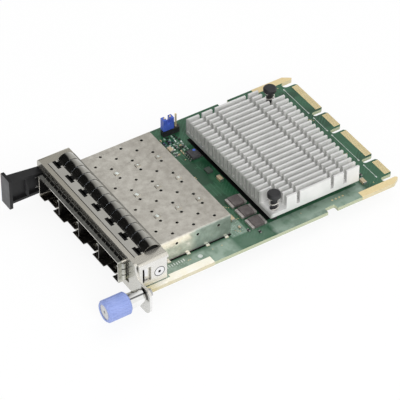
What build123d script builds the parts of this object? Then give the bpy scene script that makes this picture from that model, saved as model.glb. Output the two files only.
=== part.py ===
from build123d import *
import os
from math import cos, pi, sin, sqrt

# Four port network adapter card: a board with edge contacts, a finned heat sink on
# push pins, a row of four module cages behind a folded faceplate, a pull tab and a
# captive thumbscrew. Lengths are in millimetres.
# Working frame: X across the card, Y from the faceplate to the edge contacts and
# Z up from the board's top face. The finished pieces are moved so that the origin
# lies under the middle of the card, at its lowest point.

# General
cut_over = 1.0                  # how far a cut runs past the face it opens
seat_gap = 0.1                  # clearance of loose fitting pieces
run_gap = 0.08                  # radial clearance of the sliding screw

# Board
board_width = 76.0
board_depth = 115.0
board_thick = 1.57
contact_gap = 0.14
contact_length = 2.8
contact_thick = 0.05
contact_setback = 0.05          # bare tip in front of the contacts
long_contacts = 28
short_contacts = 14
tongue_margin = 0.9             # board beside the outermost contacts
left_slot = 3.1                 # between the left prong and the first tongue
right_slot = 2.35
tongue_setback = 0.2            # tongue tips lie behind the prong tips
tongue_chamfer = 0.8
key_gap = 2.35
key_depth = 5.7
prong_width = 2.95
prong_chamfer_x = 2.0
prong_chamfer_y = 3.0
prong_inner_chamfer = 0.5
notch_from_tip = 33.6
notch_length = 4.4
notch_depth = 2.3
notch_radius = 0.5
plating_thick = 0.05
front_plating_end = 30.6
front_plating_width = 3.4
front_plating_step = 12.6       # the strip is narrower in front of this
front_plating_narrow = 2.0
rear_plating_length = 17.7

# Module cages
port_count = 4
cage_side_room = 9.5            # board beside the row of cages
cage_front = -5.1
cage_rear = 43.8
cage_height = 9.7
sheet = 0.3
cage_corner = 0.5
vent_diameter = 1.2
vent_pitch = 9.15
vent_share = 0.288              # outer vent rows beside the port's middle, of its width
vent_first = 15.6
vent_rows = 3
side_vent_drop = 2.7            # side vents below the roof
lock_tab_width = 1.9
lock_tab_length = 1.3
lock_tab_behind = 0.25          # lock tabs lie just behind the outer vent rows
tail_width = 0.7
tail_length = 2.7
tail_hole = 1.2
tail_first = 3.4
tail_pitch = 9.0
wall_tails = 4
floor_rear = 30.0
latch_width = 5.4               # spring tongue in each port's floor
latch_slot = 0.5
latch_length = 9.0
latch_setback = 1.2             # tongue's front end behind the floor's front edge
latch_rise = 0.5
latch_window_width = 1.8
latch_window_length = 2.2
latch_window_start = 1.6

# Spring fingers round the cage fronts
collar_band = 1.6
collar_sheet = 0.15
fingers_per_port = 5
finger_gap = 0.5
finger_length = 2.2
finger_rise = 0.65
side_fingers = 3

# Connectors inside the cages
connector_room = 2.05           # cage width that the connector leaves free
connector_length = 12.0
connector_behind = 0.8          # connector in front of the cage's rear end
connector_top = 5.8
connector_foot = 1.3            # height of the overhang in front
connector_setback = 2.6
connector_slope = 2.4
socket_wall = 0.9
socket_height = 1.9
socket_depth = 6.5
socket_level = 3.6              # middle of the socket above the board
blade_width = 0.35
blade_side_share = 0.12         # socket width beside the outermost blades, as a share
blade_height = 0.4
blade_length = 5.5
blades_per_row = 10

# Faceplate
plate_front = -1.5
plate_thick = 1.0
plate_inset = 2.2               # board's long edge outside the faceplate's side
plate_above_cage = 1.8
plate_bottom = -3.6
plate_corner = 1.4
plate_step = 1.3                # front sheet ends inside the right flange
plate_window_side = 1.5         # window beside and over the cages
plate_window_over = 0.6
plate_window_bottom = -0.75
plate_window_radius = 0.6
hood_thick = 0.8
hood_rear = 12.0
flange_rear = 11.3
flange_bottom = 0.4
flange_window_front = 0.9
flange_window_rear = 4.5
flange_window_bottom = 2.5
flange_window_drop = 2.5        # window's top below the hood
flange_screw_y = 8.1
flange_screw_z = 5.0
flange_head_radius = 2.2
flange_hole_radius = 1.35

# Spring finger strip on the hood
strip_fingers = 13
strip_fingers_per_port = 3
strip_slit = 0.35
strip_sheet = 0.15
strip_front = 0.6
strip_foot = 4.7                # where the arches leave the strip
strip_arch_end = 11.4
strip_rise = 2.05
clip_bar_width = 4.3
clip_bar_length = 1.1
clip_stem_width = 1.9
clip_start = 2.5

# Blocks and screws behind the side flanges
block_from_cage = 0.8
block_front = 4.9
block_below_top = 3.9
side_screw_length = 5.0
side_screw_radius = 1.25
side_screw_recess = 0.65
side_screw_recess_depth = 0.9

# Pull tab
tab_inset = 2.5                 # tab's middle inside the faceplate's side
tab_plate_width = 6.4
tab_plate_height = 14.0
tab_plate_thick = 1.3
tab_plate_middle = 4.1
tab_plate_radius = 0.5
tab_front = -16.9
tab_body_width = 4.2
tab_web = 1.3
tab_flange = 1.1
tab_bottom = -1.3
tab_top_root = 8.1
tab_top_front = 10.1
tab_rib_y = -8.4
tab_rib = 0.7
rivet_radius = 0.9
rivet_head_radius = 1.5
rivet_head = 0.4
rivet_depth = 3.0
rivet_levels = (0.9, 5.9)

# Captive thumbscrew
screw_beside_plate = 4.3        # screw's axis beside the faceplate's side
screw_z = 1.35
screw_travel = 5.0
ear_reach = 8.7                 # ear's outer edge beside the faceplate's side
ear_top = 5.1
ear_bottom = -6.25
ear_top_radius = 2.5
ear_bottom_radius = 4.1
ear_flare = 4.9
ear_foot = 2.9
knob_front = -18.2
knob_length = 9.75
knob_radius = 4.38
knob_edge = 0.6
knob_bore = 3.35
knob_wall = 2.2
knob_flutes = 18
knob_flute_radius = 0.35
knob_flute_inset = 0.12
ferrule_radius = 3.05
ferrule_bore = 2.5
ferrule_overlap = 1.0           # length inside the knob at rest
ferrule_base = 1.0
ferrule_spigot = 2.5
ferrule_lip = 0.3
ferrule_neck = 0.7              # groove between the ferrule and the faceplate
ferrule_neck_radius = 2.75
screw_radius = 1.5
screw_head_radius = 3.0
screw_head_recess = 0.2
screw_drive = 0.55
screw_drive_depth = 1.2
screw_tip = 1.9                 # how far the point stands behind the board's edge
groove_radius = 1.2
ring_radius = 1.9
ring_thick = 0.5
screw_spring_radius = 2.3
screw_spring_wire = 0.3
screw_spring_turns = 5
coil_steps = 12                 # straight runs in one turn of a spring
wire_sides = 6

# Heat sink and controller
sink_left_margin = 11.8         # board beside the heat sink
sink_right_margin = 5.7
sink_behind_cage = 15.3
sink_from_tip = 15.7
sink_bottom = 3.0
sink_base = 1.8
sink_top = 10.4
fin_count = 23
fin_thick = 0.85
cross_cut = 1.45
short_segment = 4.5             # fins between two neighbouring cross cuts
pocket_room = 1.1               # between a pin's head and the pocket's end
pocket_fins = 3
pin_inset_x = 3.1
pin_inset_y = 3.4
pin_head_radius = 2.65
pin_head_height = 1.6
pin_head_edge = 0.4
pin_head_level = 10.6           # underside of the head
pin_neck_radius = 1.9
pin_neck_height = 0.6
pin_radius = 1.35
pin_hole = 1.6
pin_barb_radius = 1.95
pin_barb = 1.0
pin_point = 0.7
pin_slit = 0.5
pin_spring_radius = 1.95
pin_spring_wire = 0.22
pin_spring_turns = 2
pin_spring_twist = 120          # where the lower coil begins, in degrees
chip_share = 0.62               # side of the controller, as a share of the heat sink's length
chip_substrate = 0.9
chip_ball_gap = 0.35
chip_rim = 3.0                  # substrate outside the lid
chip_lid_edge = 0.5
ball_radius = 0.3
ball_columns = 10
pad_inset = 0.5                 # lid outside the pad
pad_thick = 0.4

# Header, jumper and other parts on the board
header_inset = 4.9              # header's middle inside the board's edge
header_behind_cage = 8.6
header_pitch = 2.54
header_pins = 3
header_width = 2.5
header_height = 2.5
header_chamfer = 0.4
pin_square = 0.64
pin_top = 8.6
pin_below = 2.4
jumper_width = 2.4
jumper_bottom = 2.8
jumper_top = 8.25
jumper_notch = 1.7
jumper_notch_depth = 2.4
jumper_margin = 0.15
memory_share = -0.437           # places across the board are shares of its half width
memory_behind_cage = 12.7
memory_length = 4.9
memory_width = 3.9
memory_height = 1.6
memory_lift = 0.15
memory_draft = 0.35
lead_pitch = 1.27
lead_width = 0.42
lead_reach = 1.0
lead_thick = 0.2
lead_count = 4
inductor_first_share = 0.384
inductor_pitch_share = 0.18
inductor_behind_cage = 11.4
inductor_count = 3
inductor_length = 4.5
inductor_width = 5.2
inductor_height = 1.5
inductor_edge = 0.2
inductor_end = 1.1
inductor_end_height = 1.0
crystal_share = -0.158
crystal_behind_cage = 12.6
crystal_length = 3.2
crystal_width = 2.5
crystal_height = 0.75
crystal_radius = 0.4
chip_part_end = 0.3             # silvered end of a small part

# Small parts lie along X. Each row gives a share of the board's half width, a share of the
# depth of its zone, and its length, width and height.
large_part = (3.2, 1.6, 1.1)
small_part = (1.6, 0.8, 0.6)
flat_part = (3.2, 1.6, 0.6)
front_capacitor_shares = (
    (0.01, 0.89, large_part), (-0.63, 0.44, large_part), (0.27, 0.3, large_part),
    (0.42, 0.3, large_part), (0.574, 0.31, large_part), (-0.774, 0.25, small_part),
    (-0.69, 0.25, small_part), (-0.59, 0.25, small_part), (0.72, 0.31, small_part),
)
front_resistor_shares = (
    (-0.732, 0.43, small_part), (-0.732, 0.575, small_part), (-0.637, 0.63, small_part),
    (-0.53, 0.46, small_part), (-0.605, 0.8, small_part), (-0.495, 0.275, small_part),
    (0.805, 0.43, small_part), (0.884, 0.64, small_part),
)
rear_capacitor_shares = (
    (0.82, 0.3, large_part), (-0.58, 0.44, large_part), (-0.305, 0.44, small_part), (0.158, 0.44, small_part),
)
rear_resistor_shares = (
    (-0.7, 0.5, small_part), (-0.43, 0.48, small_part), (0.72, 0.46, small_part), (0.447, 0.46, small_part),
)
# On the lower face, under the heat sink
under_shares = (
    (-0.1, 0.4, flat_part), (0.02, 0.4, flat_part), (0.14, 0.4, flat_part), (0.26, 0.4, flat_part),
    (-0.1, 0.55, flat_part), (0.02, 0.55, flat_part), (0.14, 0.55, flat_part), (0.26, 0.55, flat_part),
    (-0.4, 0.15, small_part), (-0.25, 0.15, small_part), (-0.4, 0.85, small_part), (0.2, 0.85, small_part),
)

# Places worked out from the sizes above
board_half = board_width / 2
tongue_tip = board_depth - tongue_setback
notch_start = board_depth - notch_from_tip
rear_plating_start = board_depth - rear_plating_length
key_gaps = 3 * key_gap
bare_width = 2 * prong_width + left_slot + right_slot + key_gaps + 8 * tongue_margin
contact_pitch = (board_width - bare_width) / (2 * long_contacts + 2 * short_contacts)
contact_width = contact_pitch - contact_gap
cage_half = board_half - cage_side_room
port_pitch = 2 * cage_half / port_count
vent_offset = vent_share * port_pitch
finger_pitch = port_pitch / fingers_per_port
connector_rear = cage_rear - connector_behind
connector_front = connector_rear - connector_length
socket_width = port_pitch - connector_room - 2 * socket_wall
plate_half = board_half - plate_inset
plate_top = cage_height + plate_above_cage
plate_back = plate_front + plate_thick
plate_window_half = cage_half + plate_window_side
plate_window_top = cage_height + plate_window_over
strip_pitch = port_pitch / strip_fingers_per_port
block_outer = plate_half - hood_thick
block_inner = cage_half + block_from_cage
tab_x = tab_inset - plate_half
plate_right = plate_half - plate_step
ear_right = plate_half + ear_reach
screw_x = plate_half + screw_beside_plate
knob_back = knob_front + knob_length
sink_left = sink_left_margin - board_half
sink_right = board_half - sink_right_margin
sink_front = cage_rear + sink_behind_cage
sink_rear = board_depth - sink_from_tip
sink_base_top = sink_bottom + sink_base
fin_pitch = (sink_right - sink_left - fin_thick) / (fin_count - 1)
pocket_depth = pin_inset_y + pin_head_radius + pocket_room
cut_first = sink_front + pocket_depth - cross_cut
cut_second = cut_first + cross_cut + short_segment
cut_fourth = sink_rear - pocket_depth
cut_third = cut_fourth - short_segment - cross_cut
chip_side = chip_share * (sink_rear - sink_front)
header_x = header_inset - board_half
header_front = cage_rear + header_behind_cage
memory_x = memory_share * board_half
memory_y = cage_rear + memory_behind_cage
inductor_y = cage_rear + inductor_behind_cage
crystal_x = crystal_share * board_half
crystal_y = cage_rear + crystal_behind_cage
wall_xs = [(i - port_count / 2) * port_pitch for i in range(port_count + 1)]
port_xs = [(i + 0.5 - port_count / 2) * port_pitch for i in range(port_count)]
pin_spots = [(sink_right - pin_inset_x, sink_front + pin_inset_y),
             (sink_left + pin_inset_x, sink_rear - pin_inset_y)]
origin_shift = (
    -(ear_right - board_half - plating_thick) / 2,
    -(knob_front + board_depth + plating_thick) / 2,
    -ear_bottom,
)


def places(shares, start, end):
    # middle x, middle y, length, width and height of small parts in one zone of the board
    return [(x * board_half, start + y * (end - start), *size) for x, y, size in shares]


front_zone = (cage_rear, sink_front)
rear_zone = (sink_rear, tongue_tip - key_depth)
capacitor_places = (places(front_capacitor_shares, *front_zone)
                    + places(rear_capacitor_shares, *rear_zone))
resistor_places = (places(front_resistor_shares, *front_zone)
                   + places(rear_resistor_shares, *rear_zone))
under_places = places(under_shares, sink_front, sink_rear)


def block(xs, ys, zs):
    # a box between two limits on each axis
    middle = [(low + high) / 2 for low, high in (xs, ys, zs)]
    return Pos(*middle) * Box(xs[1] - xs[0], ys[1] - ys[0], zs[1] - zs[0])


def area(xs, ys):
    # a rectangle between two limits on each axis of the plan
    return Pos((xs[0] + xs[1]) / 2, (ys[0] + ys[1]) / 2) * Rectangle(xs[1] - xs[0], ys[1] - ys[0])


def side_profile(points, x_start, x_end):
    # a closed outline in Y and Z, drawn out along X
    outline = make_face(Polyline(*[(x_start, y, z) for y, z in points], close=True))
    return extrude(outline, amount=x_end - x_start, dir=(1, 0, 0))


def bowed_strip(start, end, rise, thick):
    # cross section of a thin arched strip, lying along the first axis
    middle = (start + end) / 2
    outer = ThreePointArc((start, thick), (middle, rise + thick), (end, thick))
    inner = ThreePointArc((start, 0), (middle, rise), (end, 0))
    sides = [Line((start, 0), (start, thick)), Line((end, 0), (end, thick))]
    return make_face(Curve() + [outer, inner] + sides)


def fuse(first, others):
    return first.fuse(*others) if others else first


def coil(radius, wire, length, turns):
    # an open coil spring standing on the plane Z = 0
    run = length - 2 * wire
    middle = radius - wire
    steps = turns * coil_steps
    angles = [2 * pi * i / coil_steps for i in range(steps + 1)]
    path = Polyline(*[(middle * cos(a), middle * sin(a), wire + run * i / steps)
                      for i, a in enumerate(angles)])
    section = Plane(origin=path @ 0, z_dir=path % 0) * RegularPolygon(wire, wire_sides)
    return sweep(section, path=path, transition=Transition.RIGHT)


# Board and its plated copper

def tongues():
    # left side, right side and number of contacts of each tongue
    found = []
    left = prong_width + left_slot - board_half
    for count in (long_contacts, short_contacts, long_contacts, short_contacts):
        right = left + count * contact_pitch + 2 * tongue_margin
        found.append((left, right, count))
        left = right + key_gap
    return found


def board_face():
    face = area((-board_half, board_half), (0, board_depth))
    inner = board_half - prong_width
    face -= area((-inner, inner), (tongue_tip, board_depth + cut_over))
    sides = [-inner] + [x for left, right, _ in tongues() for x in (left, right)] + [inner]
    root = tongue_tip - key_depth
    for left, right in zip(sides[::2], sides[1::2]):
        radius = (right - left) / 2
        face -= area((left, right), (root + radius, board_depth + cut_over))
        face -= Pos(left + radius, root + radius) * Circle(radius)
    for side in (-1, 1):
        middle = (side * board_half, notch_start + notch_length / 2)
        face -= Pos(*middle) * RectangleRounded(2 * notch_depth, notch_length, notch_radius)
    prong_tips = face.vertices().group_by(Axis.Y)[-1].sort_by(Axis.X)
    face = chamfer([prong_tips[1], prong_tips[-2]], prong_inner_chamfer)
    corners = [v for v in face.vertices() if abs(v.Y - tongue_tip) < plating_thick and abs(v.X) < inner]
    face = chamfer(corners, tongue_chamfer)
    for side in (-1, 1):
        corner = side * board_half
        face -= make_face(Polyline((corner, board_depth), (corner - side * prong_chamfer_x, board_depth),
                                   (corner, board_depth - prong_chamfer_y), close=True))
    return face


def tail_spots():
    # the outer walls' tails lie between those of the dividers
    spots = []
    for x in wall_xs:
        outer = abs(x) > cage_half - port_pitch / 2
        first = tail_first if outer else tail_first + tail_pitch / 2
        inward = x - sheet / 2 if x > 0 else x + sheet / 2
        spots.append((inward if outer else x, [first + i * tail_pitch for i in range(wall_tails)]))
    return spots


def circuit_board():
    board = extrude(board_face(), amount=-board_thick)
    low, high = -board_thick - cut_over, cut_over
    holes = [Pos(x, y, (low + high) / 2) * Cylinder(pin_hole, high - low) for x, y in pin_spots]
    holes += [Pos(x, y, (low + high) / 2) * Cylinder(tail_hole / 2, high - low)
              for x, ys in tail_spots() for y in ys]
    holes += [Pos(header_x, y, (low + high) / 2) * Cylinder(pin_square * sqrt(2) / 2 + seat_gap, high - low)
              for y in header_pin_ys()]
    return board - holes


def plating(zone):
    # copper on both faces and the bare edges of part of the board
    face = board_face() & zone
    wider = offset(face, plating_thick, kind=Kind.INTERSECTION)
    skin = extrude(wider, amount=board_thick + 2 * plating_thick)
    skin = Pos(0, 0, -board_thick - plating_thick) * skin
    return skin - extrude(board_face(), amount=-board_thick)


def front_plating(side):
    wide = area((board_half - front_plating_width, board_half), (front_plating_step, front_plating_end))
    narrow = area((board_half - front_plating_narrow, board_half), (0, front_plating_step))
    zone = wide + narrow
    return plating(zone if side > 0 else mirror(zone, about=Plane.YZ))


def rear_plating(side):
    zone = area((board_half - prong_width, board_half), (rear_plating_start, board_depth))
    return plating(zone if side > 0 else mirror(zone, about=Plane.YZ))


def edge_contacts(level):
    rear = tongue_tip - contact_setback
    pads = []
    for left, _, count in tongues():
        first = left + tongue_margin + contact_pitch / 2
        half = contact_width / 2
        middles = [first + i * contact_pitch for i in range(count)]
        pads += [block((x - half, x + half), (rear - contact_length, rear), level) for x in middles]
    return Compound(pads)


# Module cages

def cage_shell():
    outer = RectangleRounded(2 * cage_half, 2 * cage_height, cage_corner)
    inner = RectangleRounded(2 * (cage_half - sheet), 2 * (cage_height - sheet), cage_corner - sheet / 2)
    channel = (outer - inner) & (Pos(0, cage_height / 2) * Rectangle(2 * cage_half, cage_height))
    shell = Pos(0, cage_rear, 0) * Rot(90, 0, 0) * extrude(channel, amount=cage_rear - cage_front)
    cuts = []
    drill = Cylinder(vent_diameter / 2, sheet + 2 * cut_over)
    for x in port_xs:
        for i in range(vent_rows):
            row = vent_first + i * vent_pitch
            cuts.append(Pos(x, row, cage_height - sheet / 2) * drill)
            cuts += [Pos(x + side * vent_offset, row + vent_pitch / 2, cage_height - sheet / 2) * drill
                     for side in (-1, 1)]
    slot_half = sheet / 2 + seat_gap
    roof = (cage_height - sheet - cut_over, cage_height + cut_over)
    for x in wall_xs[1:-1]:
        cuts += [block((x - slot_half, x + slot_half), (y, y + lock_tab_width), roof)
                 for y in lock_tab_starts()]
    cross = Rot(0, 90, 0) * Cylinder(vent_diameter / 2, 2 * cage_half + 2 * cut_over)
    rows = [vent_first + (i + 0.5) * vent_pitch for i in range(vent_rows)]
    cuts += [Pos(0, row, cage_height - side_vent_drop) * cross for row in rows]
    shell -= cuts
    half = tail_width / 2
    tails = [block((x - sheet / 2, x + sheet / 2), (y - half, y + half), (-tail_length, sheet))
             for x, ys in (tail_spots()[0], tail_spots()[-1]) for y in ys]
    return fuse(shell, tails)


def lock_tab_starts():
    row = vent_first + vent_pitch / 2 + lock_tab_behind - lock_tab_width / 2
    return [row + i * vent_pitch for i in range(vent_rows)]


def divider(index):
    # inner wall, with tabs bent over on the roof and tails through the board
    x = wall_xs[index]
    wall = block((x - sheet / 2, x + sheet / 2), (cage_front + sheet, cage_rear - 2 * sheet - seat_gap),
                 (sheet + seat_gap, cage_height - sheet))
    parts = []
    for y in lock_tab_starts():
        ys = (y + seat_gap, y + lock_tab_width - seat_gap)
        parts.append(block((x - sheet / 2, x + sheet / 2), ys,
                           (cage_height - 2 * sheet, cage_height + sheet)))
        parts.append(block((x - sheet / 2 - 2 * seat_gap, x + lock_tab_length),
                           (y - seat_gap, y + lock_tab_width + seat_gap),
                           (cage_height, cage_height + sheet)))
    half = tail_width / 2
    parts += [block((x - sheet / 2, x + sheet / 2), (y - half, y + half), (-tail_length, 2 * sheet))
              for y in tail_spots()[index][1]]
    return fuse(wall, parts)


def cage_floor():
    half = cage_half - sheet - seat_gap
    face = area((-half, half), (cage_front, floor_rear))
    root = cage_front + latch_length
    for x in port_xs:
        face -= Pos(x, cage_front) * Rectangle(latch_width + 2 * latch_slot, 2 * latch_length)
    for x, ys in tail_spots()[1:-1]:
        for y in ys:
            if y < floor_rear + tail_width:
                face -= Pos(x, y) * Rectangle(sheet + 2 * seat_gap, tail_width + 2 * seat_gap)
    front = cage_front + latch_setback
    window = front + latch_window_start
    tongue = side_profile([(front, latch_rise), (root, 0), (root, sheet), (front, latch_rise + sheet)],
                          -latch_width / 2, latch_width / 2)
    half = latch_window_width / 2
    tongue -= block((-half, half), (window, window + latch_window_length), (0, latch_rise + cut_over))
    return fuse(extrude(face, amount=sheet), [Pos(x, 0, 0) * tongue for x in port_xs])


def cage_rear_panel():
    half = cage_half - sheet - seat_gap
    return block((-half, half), (cage_rear - sheet, cage_rear), (0, cage_height - sheet - seat_gap))


def cage_collar():
    # band over the cage fronts with spring fingers that bear on the faceplate's window
    half, top = cage_half, cage_height
    level = top / 2
    outer = RectangleRounded(2 * (half + collar_sheet), 2 * (top + collar_sheet), cage_corner + collar_sheet)
    frame = outer - RectangleRounded(2 * half, 2 * top, cage_corner)
    frame &= Pos(0, top / 2 + collar_sheet) * Rectangle(3 * half, top + 2 * collar_sheet)
    band = Pos(0, cage_front + collar_band, 0) * Rot(90, 0, 0) * extrude(frame, amount=collar_band)
    start = cage_front + collar_band - collar_sheet
    bow = bowed_strip(start, start + finger_length, finger_rise, collar_sheet)
    finger = Plane.YZ * extrude(bow, amount=(finger_pitch - finger_gap) / 2, both=True)
    fingers = []
    count = round(2 * half / finger_pitch)
    for i in range(count):
        x = (i + 0.5 - count / 2) * finger_pitch
        fingers.append(Pos(x, 0, top) * finger)
    for i in range(side_fingers):
        z = level + (i + 0.5 - side_fingers / 2) * finger_pitch
        fingers.append(Pos(half, 0, z) * Rot(0, 90, 0) * finger)
        fingers.append(Pos(-half, 0, z) * Rot(0, -90, 0) * finger)
    return fuse(band, fingers)


def port_connector(x):
    # housing of one port's socket: it overhangs in front and slopes down behind
    points = [
        (connector_front, connector_foot), (connector_front, connector_top),
        (connector_rear - connector_slope, connector_top), (connector_rear, connector_top - connector_slope),
        (connector_rear, 0), (connector_front + connector_setback, 0),
        (connector_front + connector_setback, connector_foot),
    ]
    half = (port_pitch - connector_room) / 2
    housing = side_profile(points, x - half, x + half)
    socket = block((x - socket_width / 2, x + socket_width / 2),
                   (connector_front - cut_over, connector_front + socket_depth),
                   (socket_level - socket_height / 2, socket_level + socket_height / 2))
    return housing - socket


def connector_blades():
    blades = []
    rear = connector_front + socket_depth
    blade_pitch = socket_width * (1 - 2 * blade_side_share) / (blades_per_row - 1)
    for x in port_xs:
        for i in range(blades_per_row):
            middle = x + (i - (blades_per_row - 1) / 2) * blade_pitch
            xs = (middle - blade_width / 2, middle + blade_width / 2)
            for side in (-1, 1):
                wall = socket_level + side * socket_height / 2
                zs = sorted((wall, wall - side * blade_height))
                blades.append(block(xs, (rear - blade_length, rear), zs))
    return Compound(blades)


# Faceplate, its blocks, screws and spring strip

def ear_outline():
    # flat ear beside the plate, rounded outside and flared into the plate's edge
    left = plate_right - plate_corner
    ear = make_face(Polyline((left, plate_bottom), (plate_right + ear_foot, ear_bottom),
                             (ear_right, ear_bottom), (ear_right, ear_top), (left, ear_top), close=True))
    low, high = ear.vertices().group_by(Axis.X)[-1].sort_by(Axis.Y)
    ear = fillet(high, ear_top_radius)
    low = ear.vertices().sort_by(Axis.Y)[:2].sort_by(Axis.X)[-1]
    ear = fillet(low, ear_bottom_radius)
    flare = area((left, plate_right + ear_flare), (ear_top, ear_top + ear_flare))
    return ear + (flare - Pos(plate_right + ear_flare, ear_top + ear_flare) * Circle(ear_flare))


def clip_slots():
    # plan of the slots that the spring strip is clipped in
    slots = []
    for i in range(0, strip_fingers, 2):
        x = (i + 0.5 - strip_fingers / 2) * strip_pitch
        bar = clip_start + clip_bar_length / 2
        half = clip_stem_width / 2
        slots.append(Pos(x, bar) * Rectangle(clip_bar_width, clip_bar_length))
        slots.append(area((x - half, x + half), (bar, strip_foot - strip_sheet)))
    return slots


def faceplate():
    middle = (plate_top + plate_bottom) / 2
    high = plate_top - plate_bottom
    outline = Pos(0, middle) * RectangleRounded(2 * plate_half, high, plate_corner)
    sheet_width = plate_half + plate_right
    front = Pos(plate_right - sheet_width / 2, middle) * RectangleRounded(sheet_width, high, plate_corner)
    front += ear_outline()
    window = RectangleRounded(2 * plate_window_half, plate_window_top - plate_window_bottom,
                              plate_window_radius)
    front -= Pos(0, (plate_window_top + plate_window_bottom) / 2) * window
    front -= Pos(screw_x, screw_z) * Circle(ferrule_spigot)
    front -= [Pos(tab_x, z) * Circle(rivet_radius) for z in rivet_levels]
    plate = Pos(0, plate_back, 0) * Rot(90, 0, 0) * extrude(front, amount=plate_thick)

    inner = Pos(0, middle) * RectangleRounded(2 * block_outer, high - 2 * hood_thick,
                                              plate_corner - hood_thick / 2)
    tall = plate_top - flange_bottom
    hoop = (outline - inner) & (Pos(0, flange_bottom + tall / 2) * Rectangle(2 * plate_half, tall))
    hood = Pos(0, hood_rear, 0) * Rot(90, 0, 0) * extrude(hoop, amount=hood_rear - plate_back)
    span = (-plate_half - cut_over, plate_half + cut_over)
    drill = Rot(0, 90, 0) * Cylinder(flange_hole_radius, span[1] - span[0])
    cuts = [
        block(span, (flange_rear, hood_rear + cut_over), (-cut_over, plate_top - plate_corner)),
        block(span, (flange_window_front, flange_window_rear),
              (flange_window_bottom, plate_top - flange_window_drop)),
        Pos(0, flange_screw_y, flange_screw_z) * drill,
    ]
    cuts += [Pos(side * plate_half, flange_screw_y, flange_screw_z) * Rot(0, side * 90, 0) * countersink()
             for side in (-1, 1)]
    cuts += [Pos(0, 0, plate_top - cut_over) * extrude(slot, amount=2 * cut_over) for slot in clip_slots()]
    return plate + (hood - cuts)


def countersink(shrink=0.0):
    # a cone that opens towards +Z, its wide end on the plane Z = 0
    depth = flange_head_radius - flange_hole_radius
    return Pos(0, 0, -depth / 2) * Cone(flange_hole_radius - shrink, flange_head_radius - shrink, depth)


def side_screws():
    screws = []
    for side in (-1, 1):
        shank = Pos(0, 0, -side_screw_length / 2) * Cylinder(side_screw_radius, side_screw_length)
        screw = countersink(seat_gap) + shank
        screw -= Cylinder(side_screw_recess, 2 * side_screw_recess_depth)
        screws.append(Pos(side * plate_half, flange_screw_y, flange_screw_z) * Rot(0, side * 90, 0) * screw)
    return Compound(screws)


def mounting_block(side):
    # folded support soldered on the board, threaded for the flange's screw
    xs = sorted((side * block_inner, side * block_outer))
    block_height = plate_top - block_below_top
    foot = block(xs, (block_front, flange_rear), (0, block_height))
    wall = 2 * hood_thick
    hollow = block(sorted((side * (block_inner + wall), side * (block_outer - wall))),
                   (block_front - cut_over, flange_rear - wall), (wall, block_height + cut_over))
    bore = Rot(0, 90, 0) * Cylinder(side_screw_radius, 2 * plate_half)
    return foot - hollow - Pos(0, flange_screw_y, flange_screw_z) * bore


def hood_strip():
    # flat spring strip clipped on the hood, with a row of arched fingers
    half = strip_fingers * strip_pitch / 2
    land = area((-half, half), (strip_front, strip_foot)) + area((-half, half), (strip_arch_end, hood_rear))
    strip = extrude(land - clip_slots(), amount=strip_sheet)
    bow = bowed_strip(strip_foot - strip_sheet, strip_arch_end + strip_sheet, strip_rise, strip_sheet)
    finger = Plane.YZ * extrude(bow, amount=(strip_pitch - strip_slit) / 2, both=True)
    middles = [(i + 0.5 - strip_fingers / 2) * strip_pitch for i in range(strip_fingers)]
    return Pos(0, 0, plate_top) * fuse(strip, [Pos(x, 0, 0) * finger for x in middles])


# Pull tab

def tab_height(y):
    # the tab's upper edge rises in a straight line from the faceplate to its front
    share = (plate_front - y) / (plate_front - tab_front)
    return tab_top_root + share * (tab_top_front - tab_top_root)


def pull_tab():
    left, right = tab_x - tab_body_width / 2, tab_x + tab_body_width / 2
    body = side_profile([(tab_front, tab_bottom), (plate_front, tab_bottom), (plate_front, tab_top_root),
                         (tab_front, tab_height(tab_front))], left, right)
    spans = [(tab_front + tab_plate_thick, tab_rib_y - tab_rib / 2),
             (tab_rib_y + tab_rib / 2, plate_front - tab_flange)]
    for front, rear in spans:
        outline = [(front, tab_bottom + tab_flange), (rear, tab_bottom + tab_flange),
                   (rear, tab_height(rear) - tab_flange), (front, tab_height(front) - tab_flange)]
        body -= side_profile(outline, left - cut_over, tab_x - tab_web / 2)
        body -= side_profile(outline, tab_x + tab_web / 2, right + cut_over)
    grip = RectangleRounded(tab_plate_width, tab_plate_height, tab_plate_radius)
    grip = extrude(Rot(90, 0, 0) * grip, amount=-tab_plate_thick, dir=(0, -1, 0))
    body += Pos(tab_x, tab_front, tab_plate_middle) * grip
    drill = Rot(90, 0, 0) * Cylinder(rivet_radius, 2 * rivet_depth)
    return body - [Pos(tab_x, plate_front, z) * drill for z in rivet_levels]


def tab_rivets():
    rivets = []
    for z in rivet_levels:
        shank = Rot(90, 0, 0) * Cylinder(rivet_radius, rivet_depth + plate_thick)
        head = Rot(90, 0, 0) * Cylinder(rivet_head_radius, rivet_head)
        rivets.append(Pos(tab_x, plate_back - (rivet_depth + plate_thick) / 2, z) * shank
                      + Pos(tab_x, plate_back + rivet_head / 2, z) * head)
    return Compound(rivets)


# Captive thumbscrew: every piece is turned about one line along Y

def turned(points):
    # points are distance along Y and radius, of half the section
    outline = make_face(Polyline(*[(radius, y, 0) for y, radius in points], close=True))
    return Pos(screw_x, 0, screw_z) * revolve(outline, axis=Axis.Y)


def thumb_knob():
    inner = knob_front + knob_wall
    knob = turned([
        (knob_front, screw_head_radius), (knob_front, knob_radius - knob_edge),
        (knob_front + knob_edge, knob_radius), (knob_back - knob_edge, knob_radius),
        (knob_back, knob_radius - knob_edge), (knob_back, knob_bore), (inner, knob_bore),
        (inner, screw_head_radius),
    ])
    flute = Rot(90, 0, 0) * Cylinder(knob_flute_radius, knob_length - 4 * knob_edge)
    spread = knob_radius + knob_flute_radius - knob_flute_inset
    ring = [Rot(0, i * 360 / knob_flutes, 0) * Pos(spread, 0, 0) * flute for i in range(knob_flutes)]
    return knob - [Pos(screw_x, (knob_front + knob_back) / 2, screw_z) * cut for cut in ring]


def ring_back():
    return plate_back + ferrule_lip + seat_gap + ring_thick


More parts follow.
